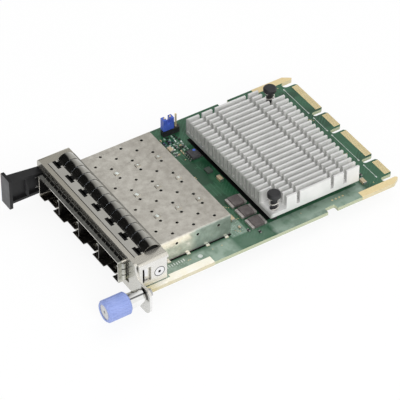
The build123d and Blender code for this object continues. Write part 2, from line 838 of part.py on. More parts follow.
def captive_screw():
    inner = knob_front + knob_wall
    groove = ring_back() - ring_thick
    screw = turned([
        (knob_front + screw_head_recess, 0), (knob_front + screw_head_recess, screw_head_radius),
        (inner, screw_head_radius), (inner, screw_radius), (groove, screw_radius), (groove, groove_radius),
        (ring_back(), groove_radius), (ring_back(), screw_radius), (screw_tip - knob_edge / 2, screw_radius),
        (screw_tip, groove_radius - knob_edge / 2), (screw_tip, 0),
    ])
    drive = Rot(90, 0, 0) * Cylinder(screw_drive, 2 * screw_drive_depth)
    return screw - Pos(screw_x, knob_front + screw_head_recess, screw_z) * drive


def screw_ferrule():
    front = knob_back - ferrule_overlap
    lip = plate_back + ferrule_lip
    return turned([
        (front, ferrule_bore), (front, ferrule_radius), (plate_front - ferrule_neck, ferrule_radius),
        (plate_front - ferrule_neck, ferrule_neck_radius), (plate_front, ferrule_neck_radius),
        (plate_front, ferrule_spigot),
        (lip, ferrule_spigot), (lip, screw_radius + run_gap),
        (plate_front - ferrule_base, screw_radius + run_gap), (plate_front - ferrule_base, ferrule_bore),
    ])


def retaining_ring():
    # the ring stands a little open, like a snap ring
    front, back = ring_back() - ring_thick, ring_back()
    ring = turned([(front, groove_radius), (front, ring_radius), (back, ring_radius), (back, groove_radius)])
    half = groove_radius / 2
    return ring - block((screw_x - half, screw_x + half), (front - cut_over, back + cut_over),
                        (screw_z, screw_z + ring_radius + cut_over))


def screw_spring():
    front = knob_front + knob_wall
    length = plate_front - ferrule_base - front
    spring = coil(screw_spring_radius, screw_spring_wire, length, screw_spring_turns)
    return Pos(screw_x, front + length, screw_z) * Rot(90, 0, 0) * spring


# Heat sink, its pins and the controller under it

def heat_sink():
    # an extruded comb, cross cut into fins, with two corners cleared for the pins
    comb = area((sink_left, sink_right), (sink_bottom, sink_base_top))
    for i in range(fin_count):
        left = sink_left + i * fin_pitch
        comb += area((left, left + fin_thick), (sink_base_top - sink_base / 2, sink_top))
    sink = Pos(0, sink_rear, 0) * Rot(90, 0, 0) * extrude(comb, amount=sink_rear - sink_front)
    span = (sink_left - cut_over, sink_right + cut_over)
    high = (sink_base_top, sink_top + cut_over)
    cuts = [block(span, (y, y + cross_cut), high) for y in (cut_first, cut_second, cut_third, cut_fourth)]
    reach = pocket_fins * fin_pitch
    cuts.append(block((sink_right - reach, span[1]), (sink_front - cut_over, cut_first + cross_cut), high))
    cuts.append(block((span[0], sink_left + reach), (cut_fourth, sink_rear + cut_over), high))
    drill = Cylinder(pin_hole, 2 * sink_top)
    return sink - cuts - [Pos(x, y, 0) * drill for x, y in pin_spots]


def push_pin(index):
    x, y = pin_spots[index]
    foot = -board_thick - pin_barb - pin_point
    head = pin_head_level + pin_head_height
    points = [
        (0, foot), (pin_radius / 2, foot), (pin_barb_radius, foot + pin_point),
        (pin_barb_radius, -board_thick - seat_gap), (pin_radius, -board_thick - seat_gap),
        (pin_radius, pin_head_level - pin_neck_height),
        (pin_neck_radius - pin_spring_wire, pin_head_level - pin_neck_height),
        (pin_neck_radius, pin_head_level), (pin_head_radius, pin_head_level),
        (pin_head_radius, head - pin_head_edge), (pin_head_radius - pin_head_edge, head), (0, head),
    ]
    pin = revolve(make_face(Polyline(*[(r, 0, z) for r, z in points], close=True)), axis=Axis.Z)
    split = block((-pin_slit / 2, pin_slit / 2), (-pin_barb_radius - cut_over, pin_barb_radius + cut_over),
                  (foot - cut_over, 0))
    return Pos(x, y, 0) * (pin - split)


def pin_spring(index):
    x, y = pin_spots[index]
    length = pin_head_level - pin_neck_height - sink_base_top
    spring = coil(pin_spring_radius, pin_spring_wire, length, pin_spring_turns)
    return Pos(x, y, sink_base_top) * Rot(0, 0, pin_spring_twist) * spring


def sink_middle():
    return (sink_left + sink_right) / 2, (sink_front + sink_rear) / 2


def chip_package():
    # square substrate under the lid
    x, y = sink_middle()
    low = chip_ball_gap
    half = chip_side / 2
    return block((x - half, x + half), (y - half, y + half), (low, low + chip_substrate))


def chip_lid():
    x, y = sink_middle()
    low = chip_ball_gap + chip_substrate
    lid_top = sink_bottom - pad_thick
    side = chip_side - 2 * chip_rim
    lid = Pos(x, y, (low + lid_top) / 2) * Box(side, side, lid_top - low)
    return chamfer(lid.faces().sort_by(Axis.Z)[-1].edges(), chip_lid_edge)


def chip_balls():
    # solder columns between the substrate and the board
    x, y = sink_middle()
    pitch = chip_side / (ball_columns + 1)
    column = Pos(0, 0, chip_ball_gap / 2) * Box(2 * ball_radius, 2 * ball_radius, chip_ball_gap)
    spread = [(i - (ball_columns - 1) / 2) * pitch for i in range(ball_columns)]
    rim = [(a, b) for a in spread for b in spread if max(abs(a), abs(b)) > spread[-1] - pitch / 2]
    return Compound([Pos(x + a, y + b, 0) * column for a, b in rim])


def thermal_pad():
    x, y = sink_middle()
    half = chip_side / 2 - chip_rim - pad_inset
    return block((x - half, x + half), (y - half, y + half), (sink_bottom - pad_thick, sink_bottom))


# Parts soldered on the board

def header_pin_ys():
    return [header_front + (i + 0.5) * header_pitch for i in range(header_pins)]


def pin_header():
    housing = block((header_x - header_width / 2, header_x + header_width / 2),
                    (header_front, header_front + header_pins * header_pitch), (0, header_height))
    housing = chamfer(housing.edges().filter_by(Axis.Z), header_chamfer)
    pins = [Pos(header_x, y, header_height / 2) * Box(pin_square, pin_square, header_height + 2 * cut_over)
            for y in header_pin_ys()]
    return housing - pins


def header_posts():
    length = pin_top + pin_below
    post = Pos(0, 0, (pin_top - pin_below) / 2) * Box(pin_square, pin_square, length)
    return Compound([Pos(header_x, y, 0) * post for y in header_pin_ys()])


def jumper_cap():
    # cap over the first two posts, with a U shaped notch in its top
    front = header_front + jumper_margin
    rear = header_front + 2 * header_pitch - jumper_margin
    middle = (front + rear) / 2
    cap = block((header_x - jumper_width / 2, header_x + jumper_width / 2), (front, rear),
                (jumper_bottom, jumper_top))
    notch_root = jumper_top - jumper_notch_depth + jumper_notch / 2
    cap -= block((header_x - jumper_width, header_x + jumper_width),
                 (middle - jumper_notch / 2, middle + jumper_notch / 2), (notch_root, jumper_top + cut_over))
    cap -= Pos(header_x, middle, notch_root) * Rot(0, 90, 0) * Cylinder(jumper_notch / 2, 2 * jumper_width)
    half = pin_square / 2
    return cap - [block((header_x - half, header_x + half), (y - half, y + half),
                        (jumper_bottom - cut_over, jumper_top + cut_over)) for y in header_pin_ys()[:2]]


def memory_chip():
    # moulded body with drafted sides
    drafted = Rectangle(memory_length - memory_draft, memory_width - memory_draft)
    base = Plane.XY.offset(memory_lift) * drafted
    waist = Plane.XY.offset((memory_lift + memory_height) / 2) * Rectangle(memory_length, memory_width)
    top = Plane.XY.offset(memory_height) * drafted
    return Pos(memory_x, memory_y, 0) * loft([base, waist, top], ruled=True)


def memory_leads():
    # gull wing leads along both long sides
    knee = (memory_lift + memory_height) / 2
    leads = []
    for i in range(lead_count):
        x = memory_x + (i + 0.5 - lead_count / 2) * lead_pitch
        root = memory_width / 2
        points = [(root, knee - lead_thick / 2), (root + lead_reach / 3, knee - lead_thick / 2),
                  (root + lead_reach / 3, 0), (root + lead_reach, 0), (root + lead_reach, lead_thick),
                  (root + lead_reach / 3 + lead_thick, lead_thick),
                  (root + lead_reach / 3 + lead_thick, knee + lead_thick / 2),
                  (root, knee + lead_thick / 2)]
        lead = side_profile(points, -lead_width / 2, lead_width / 2)
        leads.append(Pos(x, memory_y, 0) * lead)
        leads.append(Pos(x, memory_y, 0) * Rot(0, 0, 180) * lead)
    return Compound(leads)


def inductor_xs():
    return [(inductor_first_share + i * inductor_pitch_share) * board_half for i in range(inductor_count)]


def power_inductors():
    core = Pos(0, 0, inductor_height / 2) * Box(inductor_width, inductor_length, inductor_height)
    core = chamfer(core.faces().sort_by(Axis.Z)[-1].edges(), inductor_edge)
    return Compound([Pos(x, inductor_y, 0) * core for x in inductor_xs()])


def inductor_ends():
    reach = inductor_length / 2
    ends = []
    for x in inductor_xs():
        for side in (-1, 1):
            ys = sorted((inductor_y + side * reach, inductor_y + side * (reach + inductor_end)))
            ends.append(block((x - inductor_width / 2, x + inductor_width / 2), ys, (0, inductor_end_height)))
    return Compound(ends)


def chip_bodies(places, level=0.0, up=1):
    bodies = []
    for x, y, long, wide, high in places:
        xs = (x - long / 2 + chip_part_end, x + long / 2 - chip_part_end)
        bodies.append(block(xs, (y - wide / 2, y + wide / 2), sorted((level, level + up * high))))
    return Compound(bodies)


def chip_ends(places, level=0.0, up=1):
    ends = []
    for x, y, long, wide, high in places:
        for side in (-1, 1):
            xs = sorted((x + side * long / 2, x + side * (long / 2 - chip_part_end)))
            ends.append(block(xs, (y - wide / 2, y + wide / 2), sorted((level, level + up * high))))
    return Compound(ends)


def crystal_can():
    can = extrude(RectangleRounded(crystal_length, crystal_width, crystal_radius), amount=crystal_height)
    return Pos(crystal_x, crystal_y, 0) * can


pieces = {
    "circuit_board": circuit_board(),
    "front_edge_plating_left": front_plating(-1),
    "front_edge_plating_right": front_plating(1),
    "rear_edge_plating_left": rear_plating(-1),
    "rear_edge_plating_right": rear_plating(1),
    "edge_contacts_top": edge_contacts((0, contact_thick)),
    "edge_contacts_bottom": edge_contacts((-board_thick - contact_thick, -board_thick)),
    "cage_shell": cage_shell(),
    "cage_floor": cage_floor(),
    "cage_rear_panel": cage_rear_panel(),
    "cage_divider_left": divider(1),
    "cage_divider_middle": divider(2),
    "cage_divider_right": divider(3),
    "cage_spring_collar": cage_collar(),
    "connector_contacts": connector_blades(),
    "faceplate": faceplate(),
    "hood_spring_strip": hood_strip(),
    "mounting_block_left": mounting_block(-1),
    "mounting_block_right": mounting_block(1),
    "side_screws": side_screws(),
    "pull_tab": pull_tab(),
    "pull_tab_rivets": tab_rivets(),
    "thumb_knob": thumb_knob(),
    "captive_screw": captive_screw(),
    "screw_ferrule": screw_ferrule(),
    "retaining_ring": retaining_ring(),
    "screw_spring": screw_spring(),
    "heat_sink": heat_sink(),
    "push_pin_front": push_pin(0),
    "push_pin_rear": push_pin(1),
    "pin_spring_front": pin_spring(0),
    "pin_spring_rear": pin_spring(1),
    "controller_substrate": chip_package(),
    "controller_lid": chip_lid(),
    "controller_solder": chip_balls(),
    "thermal_pad": thermal_pad(),
    "pin_header": pin_header(),
    "header_posts": header_posts(),
    "jumper_cap": jumper_cap(),
    "memory_chip": memory_chip(),
    "memory_chip_leads": memory_leads(),
    "power_inductors": power_inductors(),
    "inductor_ends": inductor_ends(),
    "crystal_can": crystal_can(),
    "capacitors": chip_bodies(capacitor_places),
    "capacitor_ends": chip_ends(capacitor_places),
    "resistors": chip_bodies(resistor_places),
    "resistor_ends": chip_ends(resistor_places),
    "underside_parts": chip_bodies(under_places, -board_thick, -1),
    "underside_part_ends": chip_ends(under_places, -board_thick, -1),
}
for i, port_x in enumerate(port_xs):
    pieces[f"port_connector_{i + 1}"] = port_connector(port_x)

os.makedirs("parts", exist_ok=True)
for name, shape in pieces.items():
    export_step(Pos(*origin_shift) * shape, f"parts/{name}.step")
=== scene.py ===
import math
import random

import bmesh
import bpy
from mathutils import Matrix, Vector


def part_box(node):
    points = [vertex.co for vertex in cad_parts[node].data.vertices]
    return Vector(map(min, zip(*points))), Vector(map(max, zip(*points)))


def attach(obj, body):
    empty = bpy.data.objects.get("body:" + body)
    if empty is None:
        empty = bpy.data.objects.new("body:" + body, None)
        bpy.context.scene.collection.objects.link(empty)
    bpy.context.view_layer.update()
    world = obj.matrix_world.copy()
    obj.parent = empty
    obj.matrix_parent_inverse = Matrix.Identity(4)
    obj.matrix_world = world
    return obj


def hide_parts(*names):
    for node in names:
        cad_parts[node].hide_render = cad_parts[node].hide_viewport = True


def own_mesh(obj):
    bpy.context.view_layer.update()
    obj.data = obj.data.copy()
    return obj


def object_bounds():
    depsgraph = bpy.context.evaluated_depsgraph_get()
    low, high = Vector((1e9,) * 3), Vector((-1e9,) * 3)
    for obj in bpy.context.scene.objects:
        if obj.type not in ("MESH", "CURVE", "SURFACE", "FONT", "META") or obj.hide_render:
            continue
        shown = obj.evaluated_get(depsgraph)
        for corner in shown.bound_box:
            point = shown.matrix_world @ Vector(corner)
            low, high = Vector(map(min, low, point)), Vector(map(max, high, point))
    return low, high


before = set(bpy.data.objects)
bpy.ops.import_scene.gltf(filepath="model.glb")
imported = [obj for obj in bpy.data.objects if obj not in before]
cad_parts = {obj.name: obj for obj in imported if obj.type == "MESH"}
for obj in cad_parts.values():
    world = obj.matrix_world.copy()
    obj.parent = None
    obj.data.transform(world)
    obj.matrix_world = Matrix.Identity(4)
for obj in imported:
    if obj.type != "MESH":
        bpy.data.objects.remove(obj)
cadBox = [list(corner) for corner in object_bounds()]

# Places on the card are in millimetres: x from the board's middle, y from its front edge
# and z from its top face
mm = 0.001
boardLow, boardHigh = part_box("circuit_board")
datum = Vector(((boardLow.x + boardHigh.x) / 2, boardLow.y, boardHigh.z))
boardHalf = (boardHigh.x - boardLow.x) / 2 / mm
boardThick = (boardHigh.z - boardLow.z) / mm


def at(x, y, z=0.0):
    return datum + Vector((x, y, z)) * mm


def spanOf(node):
    # lowest and highest corner of a CAD node, in the card's millimetres
    low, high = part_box(node)
    return (low - datum) / mm, (high - datum) / mm


def addObject(name, data):
    obj = bpy.data.objects.new(name, data)
    bpy.context.scene.collection.objects.link(obj)
    return obj


def addNode(tree, kind, props=None, values=None):
    made = tree.nodes.new(kind)
    for key, value in (props or {}).items():
        setattr(made, key, value)
    for key, value in (values or {}).items():
        made.inputs[key].default_value = value
    return made


def math2(tree, operation, a, b=0):
    made = addNode(tree, "ShaderNodeMath", {"operation": operation})
    for socket, value in zip(made.inputs, (a, b)):
        if isinstance(value, (int, float)):
            socket.default_value = value
        else:
            tree.links.new(value, socket)
    return made.outputs[0]


def coordinate(tree, kind, axis):
    # one axis of the Object or the Normal coordinates
    coords = addNode(tree, "ShaderNodeTexCoord")
    parts = addNode(tree, "ShaderNodeSeparateXYZ")
    tree.links.new(coords.outputs[kind], parts.inputs[0])
    return parts.outputs[axis]


def measured(tree, kind, way):
    # how far the Object or the Generated coordinates reach along a direction
    coords = addNode(tree, "ShaderNodeTexCoord")
    made = addNode(tree, "ShaderNodeVectorMath", {"operation": "DOT_PRODUCT"})
    made.inputs[1].default_value = way
    tree.links.new(coords.outputs[kind], made.inputs[0])
    return made.outputs["Value"]


def placed(tree, stretch=(1, 1, 1), turn=0.0):
    # the object's own coordinates, stretched and turned about the upright
    coords = addNode(tree, "ShaderNodeTexCoord")
    mapping = addNode(tree, "ShaderNodeMapping", values={"Scale": stretch, "Rotation": (0, 0, turn)})
    tree.links.new(coords.outputs["Object"], mapping.inputs["Vector"])
    return mapping.outputs["Vector"]


def noise(tree, scale, detail, stretch=(1, 1, 1)):
    field = addNode(tree, "ShaderNodeTexNoise", values={"Scale": scale, "Detail": detail, "Roughness": 0.55})
    tree.links.new(placed(tree, stretch), field.inputs["Vector"])
    return field.outputs["Fac"]


def ramp(tree, fac, stops):
    made = addNode(tree, "ShaderNodeValToRGB")
    elements = made.color_ramp.elements
    while len(elements) < len(stops):
        elements.new(0.5)
    for element, (position, color) in zip(elements, stops):
        element.position = position
        element.color = (*color, 1)
    tree.links.new(fac, made.inputs["Fac"])
    return made.outputs["Color"]


def spread(tree, fac, low, high, start=0.3, end=0.7):
    # low to high, while the factor goes from start to end
    made = addNode(tree, "ShaderNodeMapRange", values={
        "From Min": start, "From Max": end, "To Min": low, "To Max": high})
    tree.links.new(fac, made.inputs["Value"])
    return made.outputs["Result"]


def mixColor(tree, fac, a, b, blend="MIX"):
    made = addNode(tree, "ShaderNodeMix", {"data_type": "RGBA", "blend_type": blend})
    for socket, value in zip((made.inputs[0], made.inputs[6], made.inputs[7]), (fac, a, b)):
        if isinstance(value, tuple):
            socket.default_value = (*value, 1)
        elif isinstance(value, (int, float)):
            socket.default_value = value
        else:
            tree.links.new(value, socket)
    return made.outputs[2]


def addBump(tree, shader, height, strength, distance):
    made = addNode(tree, "ShaderNodeBump", values={"Strength": strength, "Distance": distance})
    tree.links.new(height, made.inputs["Height"])
    tree.links.new(made.outputs["Normal"], shader.inputs["Normal"])


def newMaterial(name, constants):
    material = bpy.data.materials.new(name)
    material.use_nodes = True
    shader = material.node_tree.nodes["Principled BSDF"]
    for key, value in constants.items():
        shader.inputs[key].default_value = value
    return material, material.node_tree, shader


facingRule = {"from": 0.35, "full": 0.75}  # how far a normal leans to a side before it counts


def looksTo(tree, side):
    # 1 on the faces that look to one side, such as X or -Y
    sign = -1 if side.startswith("-") else 1
    lean = coordinate(tree, "Normal", side[-1])
    return spread(tree, lean, 0, 1, sign * facingRule["from"], sign * facingRule["full"])


def faded(tree, color, fade):
    # the colour times a tint, from start to end in millimetres along one axis of the card
    offset = datum["XYZ".index(fade["axis"])]
    share = spread(tree, coordinate(tree, "Object", fade["axis"]), 0, 1,
                   offset + fade["start"] * mm, offset + fade["end"] * mm)
    if "side" in fade:
        share = math2(tree, "MULTIPLY", share, looksTo(tree, fade["side"]))
    return mixColor(tree, share, color, fade["tint"], "MULTIPLY")


def withPaintedReflection(tree, color, paintedStreak):
    # a painted reflection: one dark streak along a turned part that lies along Y, at an angle above level
    low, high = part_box(paintedStreak["node"])
    middle = (low + high) / 2
    c, s = math.cos(math.radians(paintedStreak["angle"])), math.sin(math.radians(paintedStreak["angle"]))
    aside = math2(tree, "SUBTRACT", measured(tree, "Object", (-s, 0, c)), c * middle.z - s * middle.x)
    inside = spread(tree, math2(tree, "ABSOLUTE", aside), 1, 0,
                    (paintedStreak["half"] - paintedStreak["soft"]) * mm, paintedStreak["half"] * mm)
    near = math2(tree, "GREATER_THAN", measured(tree, "Object", (c, 0, s)), c * middle.x + s * middle.z)
    return mixColor(tree, math2(tree, "MULTIPLY", inside, near), color, paintedStreak["tint"])


grainLook = {"broad": 0.7, "fine": 0.3, "dark": 0.36, "light": 0.64, "depth": 0.00002}


def finishOf(name, look):
    # one finish: mottled colour, painted light and shade where the look asks for it, uneven roughness, and a
    # fine grain in the surface
    material, tree, shader = newMaterial(name, look.get("shader", {}))
    broad = noise(tree, look["patch"], 3)
    fine = noise(tree, look["grain"], 5, look.get("stretch", (1, 1, 1)))
    blend = math2(tree, "ADD", math2(tree, "MULTIPLY", broad, grainLook["broad"]),
                  math2(tree, "MULTIPLY", fine, grainLook["fine"]))
    color = ramp(tree, blend, [(grainLook["dark"], look["dark"]), (grainLook["light"], look["light"])])
    for fade in look.get("fades", ()):
        color = faded(tree, color, fade)
    # painted light and shade: faces that look to a side are made lighter or darker
    for side, tint in look.get("paintedSideLight", {}).items():
        color = mixColor(tree, looksTo(tree, side), color, tint, "MULTIPLY")
    # a painted dark reflection along a turned part
    if "paintedStreak" in look:
        color = withPaintedReflection(tree, color, look["paintedStreak"])
    tree.links.new(color, shader.inputs["Base Color"])
    tree.links.new(spread(tree, blend, *look["rough"]), shader.inputs["Roughness"])
    addBump(tree, shader, fine, look["bump"], look.get("depth", grainLook["depth"]))
    return material


# Colours where the mottle is dark and light, its size and the grain's, and what else a finish needs; most
# fades, all side light and the streak are painted light and shade
finishes = {
    # cage: painted shade darker towards the rear, a painted teal reflection of the board on the rear of its
    # sides, painted lighter sides and darker top
    "cageMetal": {"dark": (0.70, 0.67, 0.615), "light": (0.96, 0.935, 0.87), "rough": (0.12, 0.22),
                  "patch": 420, "grain": 2600, "bump": 0.05, "shader": {"Metallic": 0.72},
                  "fades": [{"axis": "Y", "start": 26, "end": 46, "tint": (0.78, 0.77, 0.76)},
                            {"axis": "Y", "start": 25.5, "end": 29, "tint": (0.60, 0.70, 0.72), "side": "X"}],
                  "paintedSideLight": {"Z": (0.85, 0.84, 0.82), "X": (1.12, 1.10, 1.05)}},
    # dividers: dark colour as painted shade inside the ports, with a painted highlight on their top edges
    "dividerShadeAndHighlight": {"dark": (0.16, 0.155, 0.145), "light": (0.25, 0.245, 0.23), "rough": (0.25, 0.35),
                     "patch": 120, "grain": 2600, "bump": 0.05, "shader": {"Metallic": 1.0},
                     "fades": [{"axis": "Z", "start": 9.72, "end": 9.80, "tint": (4.0, 3.9, 3.7)}]},
    # cage floor: dark colour as painted shade inside the ports; also the painted shadow ring at the ferrule's
    # foot
    "innerPaintedShade": {"dark": (0.10, 0.095, 0.085), "light": (0.17, 0.16, 0.145), "rough": (0.3, 0.42),
                   "patch": 120, "grain": 2600, "bump": 0.05, "shader": {"Metallic": 1.0}},
    # spring strip: the arches behind its flat front are made darker, painted shade
    "springMetal": {"dark": (0.76, 0.74, 0.69), "light": (0.88, 0.86, 0.81), "rough": (0.10, 0.18),
                    "patch": 160, "grain": 2400, "bump": 0.04, "shader": {"Metallic": 1.0},
                    "fades": [{"axis": "Y", "start": 4.7, "end": 5.4, "tint": (0.50, 0.50, 0.49)}]},
    # spring collar: dark colour as a painted dark reflection, with painted light on the faces that look to X
    "collarPaintedReflection": {"dark": (0.16, 0.16, 0.15), "light": (0.30, 0.30, 0.28), "rough": (0.2, 0.32),
                    "patch": 600, "grain": 3400, "bump": 0.1, "shader": {"Metallic": 1.0},
                    "paintedSideLight": {"X": (2.6, 2.6, 2.5)}},
    # faceplate: painted shade darker towards -X, a painted highlight on the ear's outer end, and painted shade
    # on its top and front faces
    "plateMetal": {"dark": (0.76, 0.75, 0.72), "light": (0.82, 0.81, 0.78), "rough": (0.24, 0.30),
                   "patch": 60, "grain": 2200, "bump": 0.02, "shader": {"Metallic": 0.8},
                   "fades": [{"axis": "X", "start": 34, "end": -14, "tint": (0.72, 0.71, 0.68)},
                             {"axis": "X", "start": 35.9, "end": 37.5, "tint": (1.06, 1.07, 1.10)}],
                   "paintedSideLight": {"Z": (0.97, 0.94, 0.88), "-Y": (0.78, 0.78, 0.75)}},
    "headMetal": {"dark": (0.80, 0.80, 0.81), "light": (0.90, 0.90, 0.91), "rough": (0.12, 0.2),
                  "patch": 300, "grain": 3000, "bump": 0.08, "shader": {"Metallic": 0.8}},
    "screwMetal": {"dark": (0.50, 0.50, 0.50), "light": (0.66, 0.66, 0.67), "rough": (0.22, 0.34),
                   "patch": 300, "grain": 3000, "bump": 0.08, "shader": {"Metallic": 1.0}},
    "wireMetal": {"dark": (0.82, 0.79, 0.72), "light": (0.93, 0.90, 0.84), "rough": (0.15, 0.25),
                  "patch": 300, "grain": 3000, "bump": 0.08, "shader": {"Metallic": 0.7}},
    # ferrule: bright chrome with a painted dark reflection streak
    "brightMetal": {"dark": (0.88, 0.88, 0.87), "light": (0.96, 0.96, 0.95), "rough": (0.04, 0.09),
                    "patch": 250, "grain": 3000, "bump": 0.02, "shader": {"Metallic": 1.0},
                    "paintedStreak": {"node": "screw_ferrule", "angle": 58, "half": 0.50, "soft": 0.40,
                               "tint": (0.10, 0.10, 0.10)}},
    # heat sink: painted shade at its front, and painted light on the faces that look to X
    "sinkMetal": {"dark": (0.70, 0.70, 0.69), "light": (0.80, 0.80, 0.79), "rough": (0.42, 0.55),
                  "patch": 120, "grain": 900, "stretch": (6, 0.5, 6), "bump": 0.1,
                  "shader": {"Metallic": 0.35},
                  "fades": [{"axis": "Y", "start": 60.4, "end": 59.3, "tint": (0.58, 0.59, 0.57)}],
                  "paintedSideLight": {"X": (1.08, 1.08, 1.07)}},
    # gold plate: faces that look to X are made darker and bluer, painted shade
    "goldPlate": {"dark": (0.86, 0.69, 0.38), "light": (0.93, 0.77, 0.45), "rough": (0.26, 0.40),
                  "patch": 200, "grain": 2600, "bump": 0.04, "shader": {"Metallic": 0.4},
                  "paintedSideLight": {"X": (0.80, 0.86, 0.98)}},
    # pale gold: faces that look to X are made darker, painted shade; darker and yellower towards the front
    # edge
    "goldPale": {"dark": (0.97, 0.92, 0.76), "light": (1.0, 0.98, 0.90), "rough": (0.16, 0.28),
                 "patch": 200, "grain": 2600, "bump": 0.06, "shader": {"Metallic": 0.12},
                 "paintedSideLight": {"X": (0.66, 0.63, 0.52)},
                 "fades": [{"axis": "Y", "start": 8.5, "end": 3.0, "tint": (0.82, 0.76, 0.52)}]},
    # pull tab: faces that look to -Y are made much lighter, painted light
    "tabPlastic": {"dark": (0.008, 0.008, 0.0085), "light": (0.018, 0.018, 0.019), "rough": (0.42, 0.56),
                   "patch": 200, "grain": 5000, "bump": 0.35, "depth": 0.00004,
                   "paintedSideLight": {"-Y": (6.6, 6.6, 6.5)}, "shader": {"Specular IOR Level": 0.32}},
    "knobPlastic": {"dark": (0.23, 0.30, 0.60), "light": (0.29, 0.36, 0.68), "rough": (0.40, 0.52),
                    "patch": 260, "grain": 4200, "bump": 0.25, "depth": 0.00003},
    "pinPlastic": {"dark": (0.012, 0.012, 0.013), "light": (0.026, 0.026, 0.028), "rough": (0.34, 0.46),
                   "patch": 260, "grain": 4200, "bump": 0.2, "depth": 0.00003},
    "blackPlastic": {"dark": (0.013, 0.013, 0.014), "light": (0.028, 0.028, 0.030), "rough": (0.38, 0.5),
                     "patch": 400, "grain": 5200, "bump": 0.25, "depth": 0.00003},
    "chipPlastic": {"dark": (0.045, 0.045, 0.048), "light": (0.080, 0.080, 0.085), "rough": (0.42, 0.56),
                    "patch": 500, "grain": 5200, "bump": 0.25, "depth": 0.00003},
    "jumperPlastic": {"dark": (0.04, 0.08, 0.40), "light": (0.07, 0.13, 0.55), "rough": (0.3, 0.42),
                      "patch": 400, "grain": 4200, "bump": 0.15, "depth": 0.00003},
    "ferrite": {"dark": (0.085, 0.074, 0.072), "light": (0.155, 0.138, 0.134), "rough": (0.5, 0.66),
                "patch": 700, "grain": 6000, "bump": 0.5, "depth": 0.00005},
    "solder": {"dark": (0.60, 0.60, 0.59), "light": (0.76, 0.76, 0.75), "rough": (0.2, 0.36), "patch": 700,
               "grain": 3000, "bump": 0.2, "depth": 0.00004, "shader": {"Metallic": 0.95}},
    "endSolder": {"dark": (0.52, 0.48, 0.46), "light": (0.80, 0.75, 0.73), "rough": (0.34, 0.5),
                  "patch": 1200, "grain": 3600, "bump": 0.25, "depth": 0.00004,
                  "shader": {"Metallic": 0.7}},
    "lidMetal": {"dark": (0.52, 0.52, 0.52), "light": (0.64, 0.64, 0.64), "rough": (0.25, 0.36),
                 "patch": 150, "grain": 2400, "bump": 0.06, "shader": {"Metallic": 1.0}},
    "canDark": {"dark": (0.045, 0.06, 0.05), "light": (0.075, 0.095, 0.08), "rough": (0.3, 0.42),
                "patch": 500, "grain": 3400, "bump": 0.1},
    # the controller's substrate, and the painted shade beside the heat sink
    "substrateAndShadeGreen": {"dark": (0.02, 0.08, 0.04), "light": (0.03, 0.11, 0.055), "rough": (0.25, 0.35),
                       "patch": 200, "grain": 2400, "bump": 0.05},
    # thermal pad, and the painted highlights on the arched fingers' edges
    "padRubberAndHighlight": {"dark": (0.22, 0.24, 0.27), "light": (0.30, 0.32, 0.35), "rough": (0.7, 0.85),
                  "patch": 200, "grain": 2600, "bump": 0.3, "depth": 0.00005},
    "capacitorTan": {"dark": (0.42, 0.34, 0.22), "light": (0.60, 0.50, 0.34), "rough": (0.4, 0.55),
                     "patch": 900, "grain": 5000, "bump": 0.2, "depth": 0.00003},
    "resistorBlack": {"dark": (0.012, 0.012, 0.013), "light": (0.03, 0.03, 0.032), "rough": (0.3, 0.42),
                      "patch": 900, "grain": 5000, "bump": 0.1},
    # white print, and the painted highlights on the roof tabs
    "printWhiteAndHighlight": {"dark": (0.52, 0.58, 0.54), "light": (0.72, 0.76, 0.73), "rough": (0.5, 0.65),
                   "patch": 900, "grain": 5000, "bump": 0.2},
    "printDull": {"dark": (0.24, 0.34, 0.28), "light": (0.36, 0.46, 0.40), "rough": (0.5, 0.65),
                  "patch": 900, "grain": 5000, "bump": 0.2},
    # near-black for painted shade in gaps, holes, slots and under parts
    "paintedShadeBlack": {"dark": (0.004, 0.004, 0.004), "light": (0.010, 0.010, 0.010), "rough": (0.7, 0.85),
                "patch": 400, "grain": 4000, "bump": 0.1, "shader": {"Specular IOR Level": 0.1}},
    "markBlue": {"dark": (0.06, 0.14, 0.55), "light": (0.10, 0.20, 0.70), "rough": (0.4, 0.5), "patch": 900,
                 "grain": 5000, "bump": 0.1},
}
materials = {name: finishOf(name, look) for name, look in finishes.items()}


# The board: glossy solder mask over copper on both faces, bare glass laminate on its edges
maskLook = {
    "shader": {"Coat Weight": 0.35, "Coat Roughness": 0.08, "IOR": 1.5},
    "deep": (0.014, 0.062, 0.030), "plane": (0.026, 0.100, 0.050), "planeScale": 75,
    "trace": (0.040, 0.135, 0.075), "traceScale": 330, "traceWidth": 0.045, "layerScale": 55, "bareScale": 120,
    "rough": (0.16, 0.26), "roughScale": 400,
    "bump": 0.25, "depth": 0.00003, "bumpScale": 900, "bumpShare": 0.4,
    "edgeDark": (0.38, 0.42, 0.27), "edgeLight": (0.52, 0.56, 0.40), "weaveScale": 1500, "edgeRough": 0.75,
    "milky": (0.29, 0.385, 0.315), "milkyScale": 260,
    "milkyPatches": [  # where the mask is paler, mostly along the near edge: x, y, soft edge, share
        {"x": (31.0, 40.0), "y": (0.0, 41.6), "soft": 2.0, "share": 1.0},
        {"x": (31.0, 40.0), "y": (43.0, 57.0), "soft": 1.4, "share": 0.20},
        {"x": (31.0, 40.0), "y": (59.5, 99.5), "soft": 2.0, "share": 0.80},
        {"x": (23.5, 30.5), "y": (43.5, 50.0), "soft": 0.5, "share": 0.85},
        {"x": (13.5, 21.5), "y": (44.3, 47.4), "soft": 0.5, "share": 0.75},
    ],
}


def within(tree, place, low, high, soft):
    # 1 between two places along an axis, with a soft edge at both ends
    return math2(tree, "MULTIPLY", spread(tree, place, 0, 1, low - soft, low),
                 spread(tree, place, 1, 0, high, high + soft))


